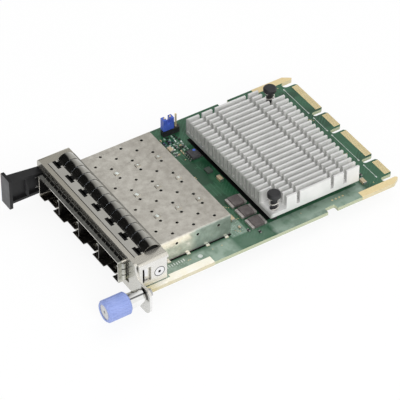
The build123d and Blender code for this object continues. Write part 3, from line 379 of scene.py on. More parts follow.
def tracksOf(tree, look):
    # two layers of tracks, one straight and one slanted, each in its own areas, and none in some
    black, white = (0, 0, 0), (1, 1, 1)
    layers = []
    for turn, stretch in ((0.0, (1, 1, 1)), (math.pi / 4, (1.3, 1.3, 1))):
        brick = addNode(tree, "ShaderNodeTexBrick", {"offset": 0.35, "squash": 1.7, "squash_frequency": 3}, {
            "Scale": look["traceScale"], "Mortar Size": look["traceWidth"], "Mortar Smooth": 0.1,
            "Brick Width": 2.6, "Row Height": 0.5,
            "Color1": (*black, 1), "Color2": (*black, 1), "Mortar": (*white, 1)})
        tree.links.new(placed(tree, stretch, turn), brick.inputs["Vector"])
        layers.append(brick.outputs["Color"])
    areas = ramp(tree, noise(tree, look["layerScale"], 1), [(0.48, black), (0.52, white)])
    bare = ramp(tree, noise(tree, look["bareScale"], 1), [(0.47, black), (0.53, white)])
    return math2(tree, "MULTIPLY", mixColor(tree, areas, *layers), bare)


def milkOf(tree, look):
    cloudy = spread(tree, noise(tree, look["milkyScale"], 2), 0.6, 1.0, 0.40, 0.60)
    milk = 0
    for patch in look["milkyPatches"]:
        here = cloudy
        for axis in "XY":
            low, high = (datum["XY".index(axis)] + edge * mm for edge in patch[axis.lower()])
            here = math2(tree, "MULTIPLY", here, within(tree, coordinate(tree, "Object", axis),
                                                        low, high, patch["soft"] * mm))
        milk = math2(tree, "MAXIMUM", milk, math2(tree, "MULTIPLY", here, patch["share"]))
    return milk


def boardMaterial(look):
    material, tree, shader = newMaterial("solderMask", look["shader"])
    copper = ramp(tree, noise(tree, look["planeScale"], 2), [(0.44, look["deep"]), (0.50, look["plane"])])
    tracks = tracksOf(tree, look)
    green = mixColor(tree, tracks, copper, look["trace"])
    green = mixColor(tree, milkOf(tree, look), green, look["milky"])
    flat = math2(tree, "GREATER_THAN", math2(tree, "ABSOLUTE", coordinate(tree, "Normal", "Z")), 0.5)
    weave = ramp(tree, noise(tree, look["weaveScale"], 3, (1, 1, 8)),
                 [(0.4, look["edgeDark"]), (0.6, look["edgeLight"])])
    tree.links.new(mixColor(tree, flat, weave, green), shader.inputs["Base Color"])
    rough = spread(tree, noise(tree, look["roughScale"], 3), *look["rough"])
    smoother = math2(tree, "SUBTRACT", look["edgeRough"], rough)
    tree.links.new(math2(tree, "SUBTRACT", look["edgeRough"], math2(tree, "MULTIPLY", flat, smoother)),
                   shader.inputs["Roughness"])
    uneven = math2(tree, "MULTIPLY", noise(tree, look["bumpScale"], 3), look["bumpShare"])
    addBump(tree, shader, math2(tree, "ADD", tracks, uneven), look["bump"], look["depth"])
    return material


materials["solderMask"] = boardMaterial(maskLook)
print("materials made:", len(materials))


nodeFinish = {
    "solderMask": ["circuit_board"],
    "goldPale": ["front_edge_plating_left", "front_edge_plating_right"],
    "goldPlate": ["rear_edge_plating_left", "rear_edge_plating_right", "edge_contacts_top",
                  "edge_contacts_bottom", "connector_contacts", "header_posts"],
    "cageMetal": ["cage_shell", "cage_rear_panel"],
    "dividerShadeAndHighlight": ["cage_divider_left", "cage_divider_middle", "cage_divider_right"],
    "innerPaintedShade": ["cage_floor"],
    "springMetal": ["hood_spring_strip"],
    "collarPaintedReflection": ["cage_spring_collar"],
    "plateMetal": ["faceplate", "mounting_block_left", "mounting_block_right"],
    "screwMetal": ["pull_tab_rivets", "captive_screw", "retaining_ring", "screw_spring"],
    "wireMetal": ["pin_spring_front", "pin_spring_rear"],
    "headMetal": ["side_screws"],
    "brightMetal": ["screw_ferrule"],
    "tabPlastic": ["pull_tab"],
    "knobPlastic": ["thumb_knob"],
    "sinkMetal": ["heat_sink"],
    "pinPlastic": ["push_pin_front", "push_pin_rear"],
    "substrateAndShadeGreen": ["controller_substrate"],
    "lidMetal": ["controller_lid"],
    "canDark": ["crystal_can"],
    "endSolder": ["inductor_ends"],
    "solder": ["controller_solder", "memory_chip_leads", "capacitor_ends", "resistor_ends",
               "underside_part_ends"],
    "padRubberAndHighlight": ["thermal_pad"],
    "chipPlastic": ["memory_chip"],
    "blackPlastic": ["pin_header", "port_connector_1", "port_connector_2", "port_connector_3",
                     "port_connector_4"],
    "jumperPlastic": ["jumper_cap"],
    "ferrite": ["power_inductors"],
    "capacitorTan": ["capacitors", "underside_parts"],
    "resistorBlack": ["resistors"],
}
softEdges = {  # width of the rounding, in millimetres
    "faceplate": 0.12, "cage_shell": 0.06, "hood_spring_strip": 0.02, "pull_tab": 0.18, "thumb_knob": 0.10,
    "heat_sink": 0.10, "screw_ferrule": 0.10, "push_pin_front": 0.12, "push_pin_rear": 0.12,
    "pin_header": 0.12, "jumper_cap": 0.15, "power_inductors": 0.12, "mounting_block_left": 0.1,
    "mounting_block_right": 0.1, "capacitors": 0.08, "resistors": 0.06, "memory_chip": 0.05,
    "captive_screw": 0.1, "inductor_ends": 0.08, "header_posts": 0.1, "capacitor_ends": 0.08,
    "resistor_ends": 0.06, "circuit_board": 0.06,
}
edgeRule = {"weld": 1e-6, "segments": 2, "overAngle": 40}


def softenEdges(obj, width):
    weld = obj.modifiers.new("joinCorners", "WELD")
    weld.merge_threshold = edgeRule["weld"]
    bevel = obj.modifiers.new("roundEdges", "BEVEL")
    bevel.width = width * mm
    bevel.segments = edgeRule["segments"]
    bevel.limit_method = "ANGLE"
    bevel.angle_limit = math.radians(edgeRule["overAngle"])


for finish, names in nodeFinish.items():
    for name in names:
        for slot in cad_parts[name].material_slots:
            slot.material = materials[finish]
for name, width in softEdges.items():
    softenEdges(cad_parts[name], width)
print("CAD nodes finished")


def addPiece(name, shape, finish, body="card"):
    mesh = bpy.data.meshes.new(name)
    bmesh.ops.recalc_face_normals(shape, faces=shape.faces)
    shape.to_mesh(mesh)
    shape.free()
    mesh.materials.append(materials[finish])
    obj = addObject(name, mesh)
    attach(obj, body)


def joinRows(shape, rows, capped=False):
    # skin over rows of corners, each row a loop round the same piece
    for here, there in zip(rows, rows[1:]):
        for i in range(len(here)):
            j = (i + 1) % len(here)
            shape.faces.new((here[i], here[j], there[j], there[i]))
    if capped:
        shape.faces.new(rows[0])
        shape.faces.new(rows[-1])


def addPrism(shape, outline, low, high, taper=1.0):
    # a flat outline drawn up from low to high, narrower at its top where taper is under 1
    middle = Vector((sum(p[0] for p in outline), sum(p[1] for p in outline))) / len(outline)
    lower = [shape.verts.new(at(x, y, low)) for x, y in outline]
    upper = [shape.verts.new(at(*(middle + (Vector((x, y)) - middle) * taper), high)) for x, y in outline]
    joinRows(shape, [lower, upper], capped=True)


def rectangle(x, y, wide, long, turn=0.0):
    corners = [(-wide / 2, -long / 2), (wide / 2, -long / 2), (wide / 2, long / 2), (-wide / 2, long / 2)]
    c, s = math.cos(turn), math.sin(turn)
    return [(x + a * c - b * s, y + a * s + b * c) for a, b in corners]


def disc(x, y, radius, sides=16):
    return [(x + radius * math.cos(2 * math.pi * i / sides), y + radius * math.sin(2 * math.pi * i / sides))
            for i in range(sides)]


def addRing(shape, x, y, inner, outer, low, high, sides=16):
    loops = [[shape.verts.new(at(a, b, z)) for a, b in disc(x, y, radius, sides)]
             for radius, z in ((outer, low), (outer, high), (inner, high), (inner, low))]
    joinRows(shape, loops + loops[:1])


def addUprightRing(shape, origin, axis, inner, outer, thick, start=0.0, end=2 * math.pi, sides=40):
    # a thin flat ring, or part of one, round an axis that lies level
    turn = Vector(axis).to_track_quat("Z", "Y").to_matrix()
    rows = []
    for i in range(sides + 1):
        angle = start + (end - start) * i / sides
        way = Vector((math.cos(angle), math.sin(angle), 0))
        rows.append([shape.verts.new(origin + turn @ (way * radius + Vector((0, 0, rise))) * mm)
                     for radius, rise in ((inner, 0), (outer, 0), (outer, thick), (inner, thick))])
    joinRows(shape, rows)


def addFrame(shape, x, y, wide, long, line, high):
    # a thin printed outline round a part
    for side in (-1, 1):
        addPrism(shape, rectangle(x, y + side * long / 2, wide + line, line), 0, high)
        addPrism(shape, rectangle(x + side * wide / 2, y, line, long - line), 0, high)


def addMarks(shape, marks, high):
    # printed dashes in even steps, some set aside or turned, in one row or more
    for row in range(marks.get("rows", 1)):
        for i in range(marks["count"]):
            aside = i % marks.get("every", 1)
            x, y = (start + step * i + shift * aside for start, step, shift in
                    zip(marks["start"], marks["step"], marks.get("shift", (0, 0))))
            y += row * marks.get("rowStep", 0)
            turn = math.radians(marks.get("turn", 0)) * (i % 2)
            addPrism(shape, rectangle(x, y, *marks["size"], turn), 0, high)


# Printed lines on the board, as plain shapes
printLook = {
    "line": 0.16, "high": 0.03, "dot": (32.5, 27.8), "dotRadius": 0.95,
    "rearRuns": ((-31.0, -14.2), (-10.2, -1.4), (2.2, 19.6), (23.4, 31.2)), "rearY": 108.35,
    "runEnd": (1.0, 0.5),
    "outlines": ((-34.9, 46.4), (-30.2, 100.4), (-34.2, 66.4)), "outline": (2.2, 1.2),
    "marks": {"start": (31.0, 13.2), "step": (0, 1.05), "count": 9, "shift": (0.25, 0), "every": 2,
              "size": (1.3, 0.38)},
    "dullMarks": [
        {"start": (9.5, 45.4), "step": (1.42, 0), "count": 15, "shift": (0, 0.75), "every": 3,
         "size": (0.9, 0.36)},
        {"start": (12.0, 46.0), "step": (1.25, 0), "count": 15, "shift": (0, 0.6), "every": 2,
         "size": (0.3, 0.9)},
        {"start": (32.6, 13.2), "step": (0, 1.05), "count": 9, "shift": (0.3, 0), "every": 2,
         "size": (0.5, 0.3)},
        {"start": (24.2, 44.4), "step": (1.15, 0), "count": 6, "rows": 4, "rowStep": 1.5, "turn": 90,
         "size": (0.8, 0.28)},
    ],
}
shape = bmesh.new()
line, high = printLook["line"], printLook["high"]
for start, end in printLook["rearRuns"]:
    addPrism(shape, rectangle((start + end) / 2, printLook["rearY"], end - start, line), 0, high)
    for x in (start, end):
        addPrism(shape, rectangle(x, printLook["rearY"], *printLook["runEnd"]), 0, high)
addPrism(shape, disc(*printLook["dot"], printLook["dotRadius"], 24), 0, high)
addMarks(shape, printLook["marks"], high)
for x, y in printLook["outlines"]:
    addFrame(shape, x, y, *printLook["outline"], line, high)
addPiece("boardPrint", shape, "printWhiteAndHighlight")
shape = bmesh.new()
for marks in printLook["dullMarks"]:
    addMarks(shape, marks, high)
addPiece("boardPrintDull", shape, "printDull")


def groundOf(names, margin):
    # the ground that some CAD nodes cover, with a margin round each
    spans = [spanOf(name) for name in names]
    return [(low.x - margin, top.x + margin, low.y - margin, top.y + margin) for low, top in spans]


def isFree(x, y, ground):
    return all(not (a < x < b and c < y < d) for a, b, c, d in ground)


# Tiny parts beside the header and the cages, too small to name
tinyLook = {
    "x": (-31.5, -19.0), "y": (45.2, 57.5), "columns": 8, "rows": 8, "scatter": 0.3, "margin": 0.8,
    "size": (0.95, 0.5), "high": 0.42,
    "finishes": ("printWhiteAndHighlight", "printDull", "capacitorTan", "resistorBlack", "printDull", "resistorBlack"),
}
random.seed(7)
tinyShapes = {finish: bmesh.new() for finish in dict.fromkeys(tinyLook["finishes"])}
taken = groundOf(("pin_header", "memory_chip_leads"), tinyLook["margin"])
columnStep = (tinyLook["x"][1] - tinyLook["x"][0]) / tinyLook["columns"]
rowStep = (tinyLook["y"][1] - tinyLook["y"][0]) / tinyLook["rows"]
scatter = tinyLook["scatter"]
for row in range(tinyLook["rows"]):
    for column in range(tinyLook["columns"]):
        x = tinyLook["x"][0] + (column + 0.5) * columnStep + random.uniform(-scatter, scatter)
        y = tinyLook["y"][0] + (row + 0.5) * rowStep + random.uniform(-scatter, scatter)
        finish = random.choice(tinyLook["finishes"])
        turn = random.choice((0, math.pi / 2))
        if isFree(x, y, taken):
            addPrism(tinyShapes[finish], rectangle(x, y, *tinyLook["size"], turn), 0, tinyLook["high"])
for finish, shape in tinyShapes.items():
    addPiece("tinyParts" + finish[0].upper() + finish[1:], shape, finish)

# Bare gold pads: at the cages' feet and on test points above, round pins and posts below
padLook = {
    "foot": (1.0, 1.5), "footX": 29.05, "footYs": (16.3, 24.9, 33.4, 41.7), "footHigh": 0.34, "footTaper": 0.8,
    "testX": 33.3, "testYs": (86.5, 88.1, 89.7, 91.3), "testRadius": 0.42, "high": 0.035,
    "pinRing": (2.2, 3.0), "postRing": (0.55, 0.95), "postHalf": 0.32, "postPitch": 2.54, "posts": 3,
}
shape = bmesh.new()
for y in padLook["footYs"]:
    for side in (-1, 1):
        addPrism(shape, rectangle(side * padLook["footX"], y, *padLook["foot"]), 0, padLook["footHigh"],
                 padLook["footTaper"])
addPiece("footPads", shape, "goldPale")
shape = bmesh.new()
bottom = -boardThick
for y in padLook["testYs"]:
    addPrism(shape, disc(padLook["testX"], y, padLook["testRadius"]), 0, padLook["high"])
for name in ("push_pin_front", "push_pin_rear"):
    low, top = spanOf(name)
    addRing(shape, (low.x + top.x) / 2, (low.y + top.y) / 2, *padLook["pinRing"],
            bottom - padLook["high"], bottom, 32)
postLow, postTop = spanOf("header_posts")
postX = (postLow.x + postTop.x) / 2
postYs = [postLow.y + padLook["postHalf"] + i * padLook["postPitch"] for i in range(padLook["posts"])]
for y in postYs:
    addRing(shape, postX, y, *padLook["postRing"], bottom - padLook["high"], bottom)
addPiece("goldPads", shape, "goldPlate")

# Plated through holes, scattered in short runs where the board is bare; the holes are dark discs of painted
# shade
viaLook = {
    "radius": 0.24, "hole": 0.13, "high": 0.02, "holeHigh": 0.008, "sides": 10, "count": 150, "margin": 0.6,
    "runs": (1, 1, 2, 3, 5), "steps": ((0.9, 0.0), (0.0, 0.9), (0.65, 0.65)),
    "startEdge": 4, "edge": 3.8, "startYs": (13, 107.4), "lastY": 107.6,
    "clearOf": ("cage_shell", "pin_header", "memory_chip_leads", "inductor_ends", "crystal_can", "heat_sink",
                "mounting_block_left", "mounting_block_right"),
}
taken = groundOf(viaLook["clearOf"], viaLook["margin"])
rings, holes = bmesh.new(), bmesh.new()
startX = boardHalf - viaLook["startEdge"]
viaCount = 0
while viaCount < viaLook["count"]:
    startAt = random.uniform(-startX, startX), random.uniform(*viaLook["startYs"])
    run = random.choice(viaLook["runs"])
    step = random.choice(viaLook["steps"])
    for i in range(run):
        x, y = startAt[0] + step[0] * i, startAt[1] + step[1] * i
        if isFree(x, y, taken) and abs(x) < boardHalf - viaLook["edge"] and y < viaLook["lastY"]:
            addRing(rings, x, y, viaLook["hole"], viaLook["radius"], 0, viaLook["high"], viaLook["sides"])
            addPrism(holes, disc(x, y, viaLook["hole"], viaLook["sides"]), 0, viaLook["holeHigh"])
    viaCount += run
addPiece("viaRings", rings, "goldPlate")
addPiece("viaHoles", holes, "paintedShadeBlack")
print("board print, pads and vias made")

# Solder round the wall tails and the posts that come through the lower face
tailLook = {"firstY": 3.4, "pitch": 9.0, "perWall": 4, "inset": 0.15,
            "radius": 0.45, "flare": 2.1, "high": 0.5,
            "postRadius": 0.42, "postFlare": 2.2, "postHigh": 0.6, "sides": 14, "clear": 0.02}
shape = bmesh.new()
cageLow, cageTop = spanOf("cage_shell")
ports = 4
wallXs = [cageLow.x + i * (cageTop.x - cageLow.x) / ports for i in range(ports + 1)]
solderTop = bottom - tailLook["clear"]
for i, x in enumerate(wallXs):
    inward = {0: tailLook["inset"], ports: -tailLook["inset"]}.get(i, 0)
    firstY = tailLook["firstY"] + (0 if inward else tailLook["pitch"] / 2)
    for j in range(tailLook["perWall"]):
        y = firstY + j * tailLook["pitch"]
        addPrism(shape, disc(x + inward, y, tailLook["radius"], tailLook["sides"]),
                 bottom - tailLook["high"], solderTop, tailLook["flare"])
for y in postYs:
    addPrism(shape, disc(postX, y, tailLook["postRadius"], tailLook["sides"]), bottom - tailLook["postHigh"],
             solderTop, tailLook["postFlare"])
addPiece("leadSolder", shape, "solder")

# Painted shade: a dark strip at the foot of the cages' outer walls, between the foot pads
wallFootShadeLook = {"wide": 0.4, "high": 0.3, "startY": 12.0}
shape = bmesh.new()
footHalf = padLook["foot"][1] / 2
starts = [wallFootShadeLook["startY"]] + [y + footHalf for y in padLook["footYs"]]
ends = [y - footHalf for y in padLook["footYs"]] + [cageTop.y]
for side in (-1, 1):
    x = side * (cageTop.x + wallFootShadeLook["wide"] / 2)
    for start, end in zip(starts, ends):
        addPrism(shape, rectangle(x, (start + end) / 2, wallFootShadeLook["wide"], end - start), 0, wallFootShadeLook["high"])
addPiece("cageFootShade", shape, "paintedShadeBlack")

# Painted shade: a dark line in front of the spring strip, and dark films in its T slots
hoodShadeLook = {"seam": 0.2, "seamOver": 0.4, "seamHigh": 0.03, "slots": 7, "slotStep": 9.5, "bar": (4.9, 1.5),
            "barY": 2.95, "stem": (2.8, 1.6), "slotLow": 0.02, "slotHigh": 0.16}
stripLow, stripTop = spanOf("hood_spring_strip")
plateLow, plateTop = spanOf("faceplate")
hoodZ = plateTop.z
shape = bmesh.new()
addPrism(shape, rectangle(0, stripLow.y - hoodShadeLook["seam"] / 2, stripTop.x - stripLow.x + hoodShadeLook["seamOver"],
                          hoodShadeLook["seam"]), hoodZ, hoodZ + hoodShadeLook["seamHigh"])
stemY = hoodShadeLook["barY"] + hoodShadeLook["stem"][1] / 2
for i in range(hoodShadeLook["slots"]):
    x = (i - (hoodShadeLook["slots"] - 1) / 2) * hoodShadeLook["slotStep"]
    for (wide, long), y in ((hoodShadeLook["bar"], hoodShadeLook["barY"]), (hoodShadeLook["stem"], stemY)):
        wide = min(wide, 2 * (stripTop.x - abs(x)))
        addPrism(shape, rectangle(x, y, wide, long), hoodZ + hoodShadeLook["slotLow"], hoodZ + hoodShadeLook["slotHigh"])
addPiece("hoodSeamShade", shape, "paintedShadeBlack")

# The strip's arches stand over a dark hollow of painted shade
archLook = {"frontY": 4.7, "rearY": 11.4, "rise": 2.05, "inside": 0.36, "ends": 0.3, "lift": 0.02, "steps": 12}
archHalf = (archLook["rearY"] - archLook["frontY"]) / 2
archRadius = (archHalf ** 2 + archLook["rise"] ** 2) / (2 * archLook["rise"])
archY, archZ = archLook["frontY"] + archHalf, hoodZ + archLook["rise"] - archRadius
hollowRadius = archRadius - archLook["inside"]
rearAngle = math.asin((hoodZ + archLook["lift"] - archZ) / hollowRadius)


def onArch(x, radius, angle):
    # a place on the arches' round, the angle taken from the rear
    return at(x, archY + radius * math.cos(angle), archZ + radius * math.sin(angle))


shape = bmesh.new()
angles = [rearAngle + (math.pi - 2 * rearAngle) * i / archLook["steps"] for i in range(archLook["steps"] + 1)]
rows = [[shape.verts.new(onArch(x, hollowRadius, angle)) for angle in angles]
        for x in (stripLow.x + archLook["ends"], stripTop.x - archLook["ends"])]
joinRows(shape, rows, capped=True)
addPiece("archHollowShade", shape, "paintedShadeBlack")

# Shadow film on the board under the heat sink, weaker at the near side, which is open to the light
shadeLook = {"nearInset": 3.0, "nearWide": 1.7, "frontInset": 0.3, "film": 0.02}
sinkLow, sinkTop = spanOf("heat_sink")
sinkY, nearInset, frontInset = (sinkLow.y + sinkTop.y) / 2, shadeLook["nearInset"], shadeLook["frontInset"]
shape = bmesh.new()
addPrism(shape, rectangle((sinkLow.x + sinkTop.x - nearInset) / 2, sinkY + frontInset / 2,
                          sinkTop.x - sinkLow.x - nearInset, sinkTop.y - sinkLow.y - frontInset),
         0, shadeLook["film"])
addPiece("sinkShade", shape, "paintedShadeBlack")
shape = bmesh.new()
addPrism(shape, rectangle(sinkTop.x - nearInset + shadeLook["nearWide"] / 2, sinkY, shadeLook["nearWide"],
                          sinkTop.y - sinkLow.y), 0, shadeLook["film"])
addPiece("sinkNearShade", shape, "substrateAndShadeGreen")

# Painted highlights: bright films on the faces of the divider tabs that are bent over on the cages' roof
tabHighlightLook = {"firstY": 20.42, "step": 9.15, "tab": (1.5, 1.1), "shares": (0.95, 0.5, 0.6), "aside": 0.45,
            "turn": 0.35, "film": 0.02}
shape = bmesh.new()
tabZ = spanOf("cage_divider_middle")[1].z
for wallX in wallXs[1:-1]:
    for j, share in enumerate(tabHighlightLook["shares"]):
        wide, long = (size * share for size in tabHighlightLook["tab"])
        y = tabHighlightLook["firstY"] + j * tabHighlightLook["step"]
        addPrism(shape, rectangle(wallX + tabHighlightLook["aside"], y, wide, long, tabHighlightLook["turn"]),
                 tabZ, tabZ + tabHighlightLook["film"])
addPiece("tabFaceHighlights", shape, "printWhiteAndHighlight")

# Painted highlights: grey strips along the arched fingers' edges, where they catch the light
edgeHighlightLook = {"gaps": 12, "pitch": 4.75, "aside": 0.10, "wide": 0.07, "proud": 0.13, "crest": 80, "steps": 14}
startAngle, endAngle = math.radians(edgeHighlightLook["crest"]), math.pi - rearAngle
shape = bmesh.new()
for i in range(edgeHighlightLook["gaps"]):
    x = (i - (edgeHighlightLook["gaps"] - 1) / 2) * edgeHighlightLook["pitch"] + edgeHighlightLook["aside"]
    rows = []
    for k in range(edgeHighlightLook["steps"] + 1):
        angle = startAngle + (endAngle - startAngle) * k / edgeHighlightLook["steps"]
        rows.append([shape.verts.new(onArch(x + dx, archRadius + rise, angle)) for dx, rise in (
            (0, 0), (0, edgeHighlightLook["proud"]), (edgeHighlightLook["wide"], edgeHighlightLook["proud"]), (edgeHighlightLook["wide"], 0))])
    joinRows(shape, rows, capped=True)
addPiece("archEdgeHighlights", shape, "padRubberAndHighlight")

# Painted shade: dark rings in the gaps round the side screws' heads, and dark discs in their sockets
headShadeLook = {"gap": (1.95, 2.2), "gapThick": 0.015, "socket": (0.01, 0.45), "socketThick": 0.02}
shape = bmesh.new()
screwsLow, screwsTop = spanOf("side_screws")
for side, x in ((-1, screwsLow.x), (1, screwsTop.x)):
    head = at(x, (screwsLow.y + screwsTop.y) / 2, (screwsLow.z + screwsTop.z) / 2)
    addUprightRing(shape, head, (side, 0, 0), *headShadeLook["gap"], headShadeLook["gapThick"])
    addUprightRing(shape, head, (side, 0, 0), *headShadeLook["socket"], headShadeLook["socketThick"])
addPiece("screwHeadShade", shape, "paintedShadeBlack")

# Painted shadow: a dark ring at the ferrule's foot, on its upper near part only
ferruleShadowLook = {"ring": (2.7, 3.45), "thick": 0.015, "from": 60, "to": 188, "clear": 0.02}
shape = bmesh.new()
ferruleLow, ferruleTop = spanOf("screw_ferrule")
foot = at((ferruleLow.x + ferruleTop.x) / 2, plateLow.y - ferruleShadowLook["clear"], (ferruleLow.z + ferruleTop.z) / 2)
addUprightRing(shape, foot, (0, 1, 0), *ferruleShadowLook["ring"], ferruleShadowLook["thick"], math.radians(ferruleShadowLook["from"]),
               math.radians(ferruleShadowLook["to"]))
addPiece("ferruleFootShadow", shape, "innerPaintedShade")

# Coloured mark on the small chip's corner
markLook = {"inX": 1.1, "inY": 1.0, "radius": 0.62, "sides": 20, "sunk": 0.01, "high": 0.02}
chipLow, chipTop = spanOf("memory_chip")
shape = bmesh.new()
addPrism(shape, disc(chipLow.x + markLook["inX"], chipTop.y - markLook["inY"], markLook["radius"],
                     markLook["sides"]), chipTop.z - markLook["sunk"], chipTop.z + markLook["high"])
addPiece("chipMark", shape, "markBlue")

# Upright bowed spring in each side window of the faceplate
sideSpringLook = {"y": 2.85, "wide": 1.3, "low": 0.9, "high": 9.5, "inX": 1.35, "bow": 0.55, "thick": 0.2,
                  "steps": 14}
plateHalf = -plateLow.x
springHalf = sideSpringLook["wide"] / 2
shape = bmesh.new()
for side in (-1, 1):
    inner = -side * sideSpringLook["thick"]
    rows = []
    for i in range(sideSpringLook["steps"] + 1):
        t = i / sideSpringLook["steps"]
        x = side * (plateHalf - sideSpringLook["inX"] + sideSpringLook["bow"] * math.sin(math.pi * t))
        z = sideSpringLook["low"] + t * (sideSpringLook["high"] - sideSpringLook["low"])
        rows.append([shape.verts.new(at(x + dx, sideSpringLook["y"] + dy, z)) for dx, dy in (
            (0, -springHalf), (0, springHalf), (inner, springHalf), (inner, -springHalf))])
    joinRows(shape, rows, capped=True)
addPiece("sideSprings", shape, "headMetal")

# Painted shade: a dark sheet in the window in front of that spring and a dark film on the first port's inner
# wall; and the spring's bright leg behind
windowLook = {"darkY": 1.35, "darkWide": 1.6, "darkIn": 1.0, "legY": 4.15, "legWide": 1.5, "legIn": 1.05,
              "low": 1.2, "high": 9.4, "thick": 0.1}
portLook = {"wall": 0.32, "thick": 0.02, "y": -1.0, "long": 8.0, "low": 0.9, "high": 9.3}
dark, leg = bmesh.new(), bmesh.new()
for side in (-1, 1):
    for shape, inX, y, wide in ((dark, windowLook["darkIn"], windowLook["darkY"], windowLook["darkWide"]),
                                (leg, windowLook["legIn"], windowLook["legY"], windowLook["legWide"])):
        addPrism(shape, rectangle(side * (plateHalf - inX), y, windowLook["thick"], wide),
                 windowLook["low"], windowLook["high"])
x = cageLow.x + portLook["wall"] + portLook["thick"] / 2
addPrism(dark, rectangle(x, portLook["y"], portLook["thick"], portLook["long"]),
         portLook["low"], portLook["high"])
addPiece("portShade", dark, "paintedShadeBlack")
addPiece("springLegs", leg, "wireMetal")
print("hood, roof and window details made")

coilRule = {"stepsPerTurn": 36, "roundness": 3}


def addCoil(name, origin, axis, radius, wire, length, turns, finish, body="card", start=0.0):
    # a coil spring of round wire with closed ends, along axis from origin
    curve = bpy.data.curves.new(name, "CURVE")
    curve.dimensions = "3D"
    curve.bevel_depth = wire * mm
    curve.bevel_resolution = coilRule["roundness"]
    curve.use_fill_caps = True
    spline = curve.splines.new("POLY")
    steps = int(turns * coilRule["stepsPerTurn"])
    spline.points.add(steps)
    toAxis = Vector(axis).to_track_quat("Z", "Y").to_matrix()
    for i in range(steps + 1):
        t = i / steps
        angle = start + 2 * math.pi * turns * t
        rise = wire + (length - 2 * wire) * t
        local = Vector((radius * math.cos(angle), radius * math.sin(angle), rise)) * mm
        spline.points[i].co = (*(origin + toAxis @ local), 1)
    curve.materials.append(materials[finish])
    obj = addObject(name, curve)
    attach(obj, body)
    return obj


# Coils of the two push pins
pinCoilLook = {"wire": 0.22, "turns": 2, "start": 120, "over": 0.02}
for name, node in (("pinSpringFront", "pin_spring_front"), ("pinSpringRear", "pin_spring_rear")):
    low, top = spanOf(node)
    foot = at((low.x + top.x) / 2, (low.y + top.y) / 2, low.z - pinCoilLook["over"])
    coil = addCoil(name, foot, (0, 0, 1), (top.x - low.x) / 2 - pinCoilLook["wire"], pinCoilLook["wire"],
                   top.z - low.z + 2 * pinCoilLook["over"], pinCoilLook["turns"], "wireMetal",
                   start=math.radians(pinCoilLook["start"]))
    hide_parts(node)

# Coil of the thumbscrew, a spring that the screw squashes as it slides in; here it is made at its full length
screwCoilLook = {"wire": 0.28, "turns": 6, "clear": 0.02}
low, top = spanOf("screw_spring")
middleX, middleZ, springLength = (low.x + top.x) / 2, (low.z + top.z) / 2, top.y - low.y
coil = addCoil("screwSpringCurve", at(middleX, low.y, middleZ), (0, 1, 0),
               (top.x - low.x) / 2 - screwCoilLook["wire"] - screwCoilLook["clear"], screwCoilLook["wire"],
               springLength, screwCoilLook["turns"], "screwMetal")
coilMesh = bpy.data.meshes.new_from_object(coil.evaluated_get(bpy.context.evaluated_depsgraph_get()))
bpy.data.objects.remove(coil)
screwSpring = addObject("screwSpring", coilMesh)
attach(screwSpring, "card")
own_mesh(screwSpring)
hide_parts("screw_spring")

# Thread on the screw's free end
threadLook = {"pitch": 0.5, "radius": 1.46, "crest": 0.07, "from": 0.55, "to": 1.6}
screwLow, screwTop = spanOf("captive_screw")
threadFoot = at((screwLow.x + screwTop.x) / 2, threadLook["from"], (screwLow.z + screwTop.z) / 2)
length = threadLook["to"] - threadLook["from"]
thread = addCoil("screwThread", threadFoot, (0, 1, 0), threadLook["radius"], threadLook["crest"], length,
                 length / threadLook["pitch"], "screwMetal", "thumbscrew")
print("springs and thread made")


# White floor and backdrop in one, with the card's shadow on it
stageLook = {"size": 4.0, "white": (0.90, 0.90, 0.90), "shadow": 0.11, "below": 0.0001}


def stageMaterial(look):
    material = bpy.data.materials.new("stageWhite")
    material.use_nodes = True
    tree = material.node_tree
    tree.nodes.clear()
    diffuse = addNode(tree, "ShaderNodeBsdfDiffuse", values={"Color": (*look["white"], 1)})
    glow = addNode(tree, "ShaderNodeEmission", values={"Color": (1, 1, 1, 1), "Strength": 1.0})
    path = addNode(tree, "ShaderNodeLightPath")
    seen = math2(tree, "MAXIMUM", path.outputs["Is Camera Ray"], path.outputs["Is Glossy Ray"])
    seen = math2(tree, "MAXIMUM", seen, path.outputs["Is Transmission Ray"])
    mix = addNode(tree, "ShaderNodeMixShader")
    out = addNode(tree, "ShaderNodeOutputMaterial")
    tree.links.new(math2(tree, "MULTIPLY", seen, 1 - look["shadow"]), mix.inputs[0])
    tree.links.new(diffuse.outputs[0], mix.inputs[1])
    tree.links.new(glow.outputs[0], mix.inputs[2])
    tree.links.new(mix.outputs[0], out.inputs["Surface"])
    return material


floorZ = cadBox[0][2] - stageLook["below"]
floorMesh = bpy.data.meshes.new("floor")
half = stageLook["size"] / 2
floorMesh.from_pydata([(x * half, y * half, floorZ) for x, y in ((-1, -1), (1, -1), (1, 1), (-1, 1))],
                      [], [(0, 1, 2, 3)])
floorMesh.materials.append(stageMaterial(stageLook))
floor = addObject("floor", floorMesh)

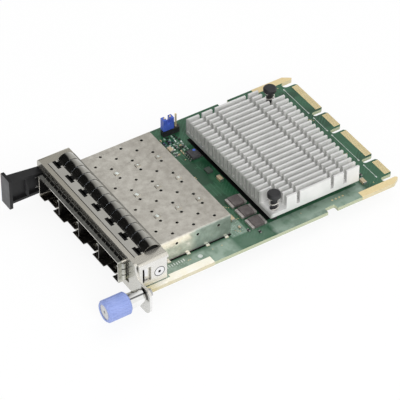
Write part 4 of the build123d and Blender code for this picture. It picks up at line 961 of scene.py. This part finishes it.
# The room: white, with one dark panel up in front on the left that metal reflects
roomLook = {"ambient": 0.62, "panel": (-0.66, -0.60, 0.45),
            "shades": [(0.16, (0.88, 0.88, 0.87)), (0.40, (0.56, 0.56, 0.55)), (0.52, (0.44, 0.44, 0.43)),
                       (0.66, (0.012, 0.012, 0.012))]}
world = bpy.data.worlds.new("room")
bpy.context.scene.world = world
world.use_nodes = True
tree = world.node_tree
mirrored = ramp(tree, measured(tree, "Generated", Vector(roomLook["panel"]).normalized()), roomLook["shades"])
path = addNode(tree, "ShaderNodeLightPath")
lit = mixColor(tree, path.outputs["Is Glossy Ray"], (roomLook["ambient"],) * 3, mirrored)
tree.links.new(mixColor(tree, path.outputs["Is Camera Ray"], lit, (1.0, 1.0, 1.0)),
               tree.nodes["Background"].inputs["Color"])

lampLook = {
    "key": {"place": (1.0, -0.25, 0.75), "size": 0.7, "power": 8.0},
    "top": {"place": (-0.35, 0.45, 1.0), "size": 0.9, "power": 3.0},
    "front": {"place": (0.1, -1.1, 0.5), "size": 0.8, "power": 2.0},
}
target = at(0, 55)  # near the middle of the board
for name, look in lampLook.items():
    lamp = bpy.data.lights.new(name, "AREA")
    lamp.shape = "DISK"
    lamp.size = look["size"]
    lamp.energy = look["power"]
    obj = addObject(name, lamp)
    obj.location = look["place"]
    obj.rotation_euler = (target - obj.location).to_track_quat("-Z", "Y").to_euler()
    obj.visible_glossy = False  # metal mirrors the room alone

# The camera stands where the photograph was taken from
cameraLook = {"azimuth": 57.019, "elevation": 41.436, "roll": -0.200, "distance": 0.97208, "lens": 230.19,
              "sensor": 36.0, "aimRight": 5.331, "aimUp": 7.207}
azimuth, elevation, roll = (math.radians(cameraLook[key]) for key in ("azimuth", "elevation", "roll"))
right = Vector((math.cos(azimuth), math.sin(azimuth), 0))
back = Vector((math.sin(azimuth) * math.cos(elevation), -math.cos(azimuth) * math.cos(elevation),
               math.sin(elevation)))
up = back.cross(right)
right, up = (math.cos(roll) * right - math.sin(roll) * up, math.sin(roll) * right + math.cos(roll) * up)
eye = target + cameraLook["distance"] * back - (cameraLook["aimRight"] * right + cameraLook["aimUp"] * up) * mm
camera = bpy.data.cameras.new("camera")
camera.lens = cameraLook["lens"]
camera.sensor_width = cameraLook["sensor"]
camera.clip_start = 0.01
cameraObject = addObject("camera", camera)
cameraObject.matrix_world = Matrix.Translation(eye) @ Matrix((right, up, back)).transposed().to_4x4()
bpy.context.scene.camera = cameraObject
print("stage, room, lamps and camera made")

bpy.context.scene.view_settings.view_transform = "Standard"
bpy.context.view_layer.update()
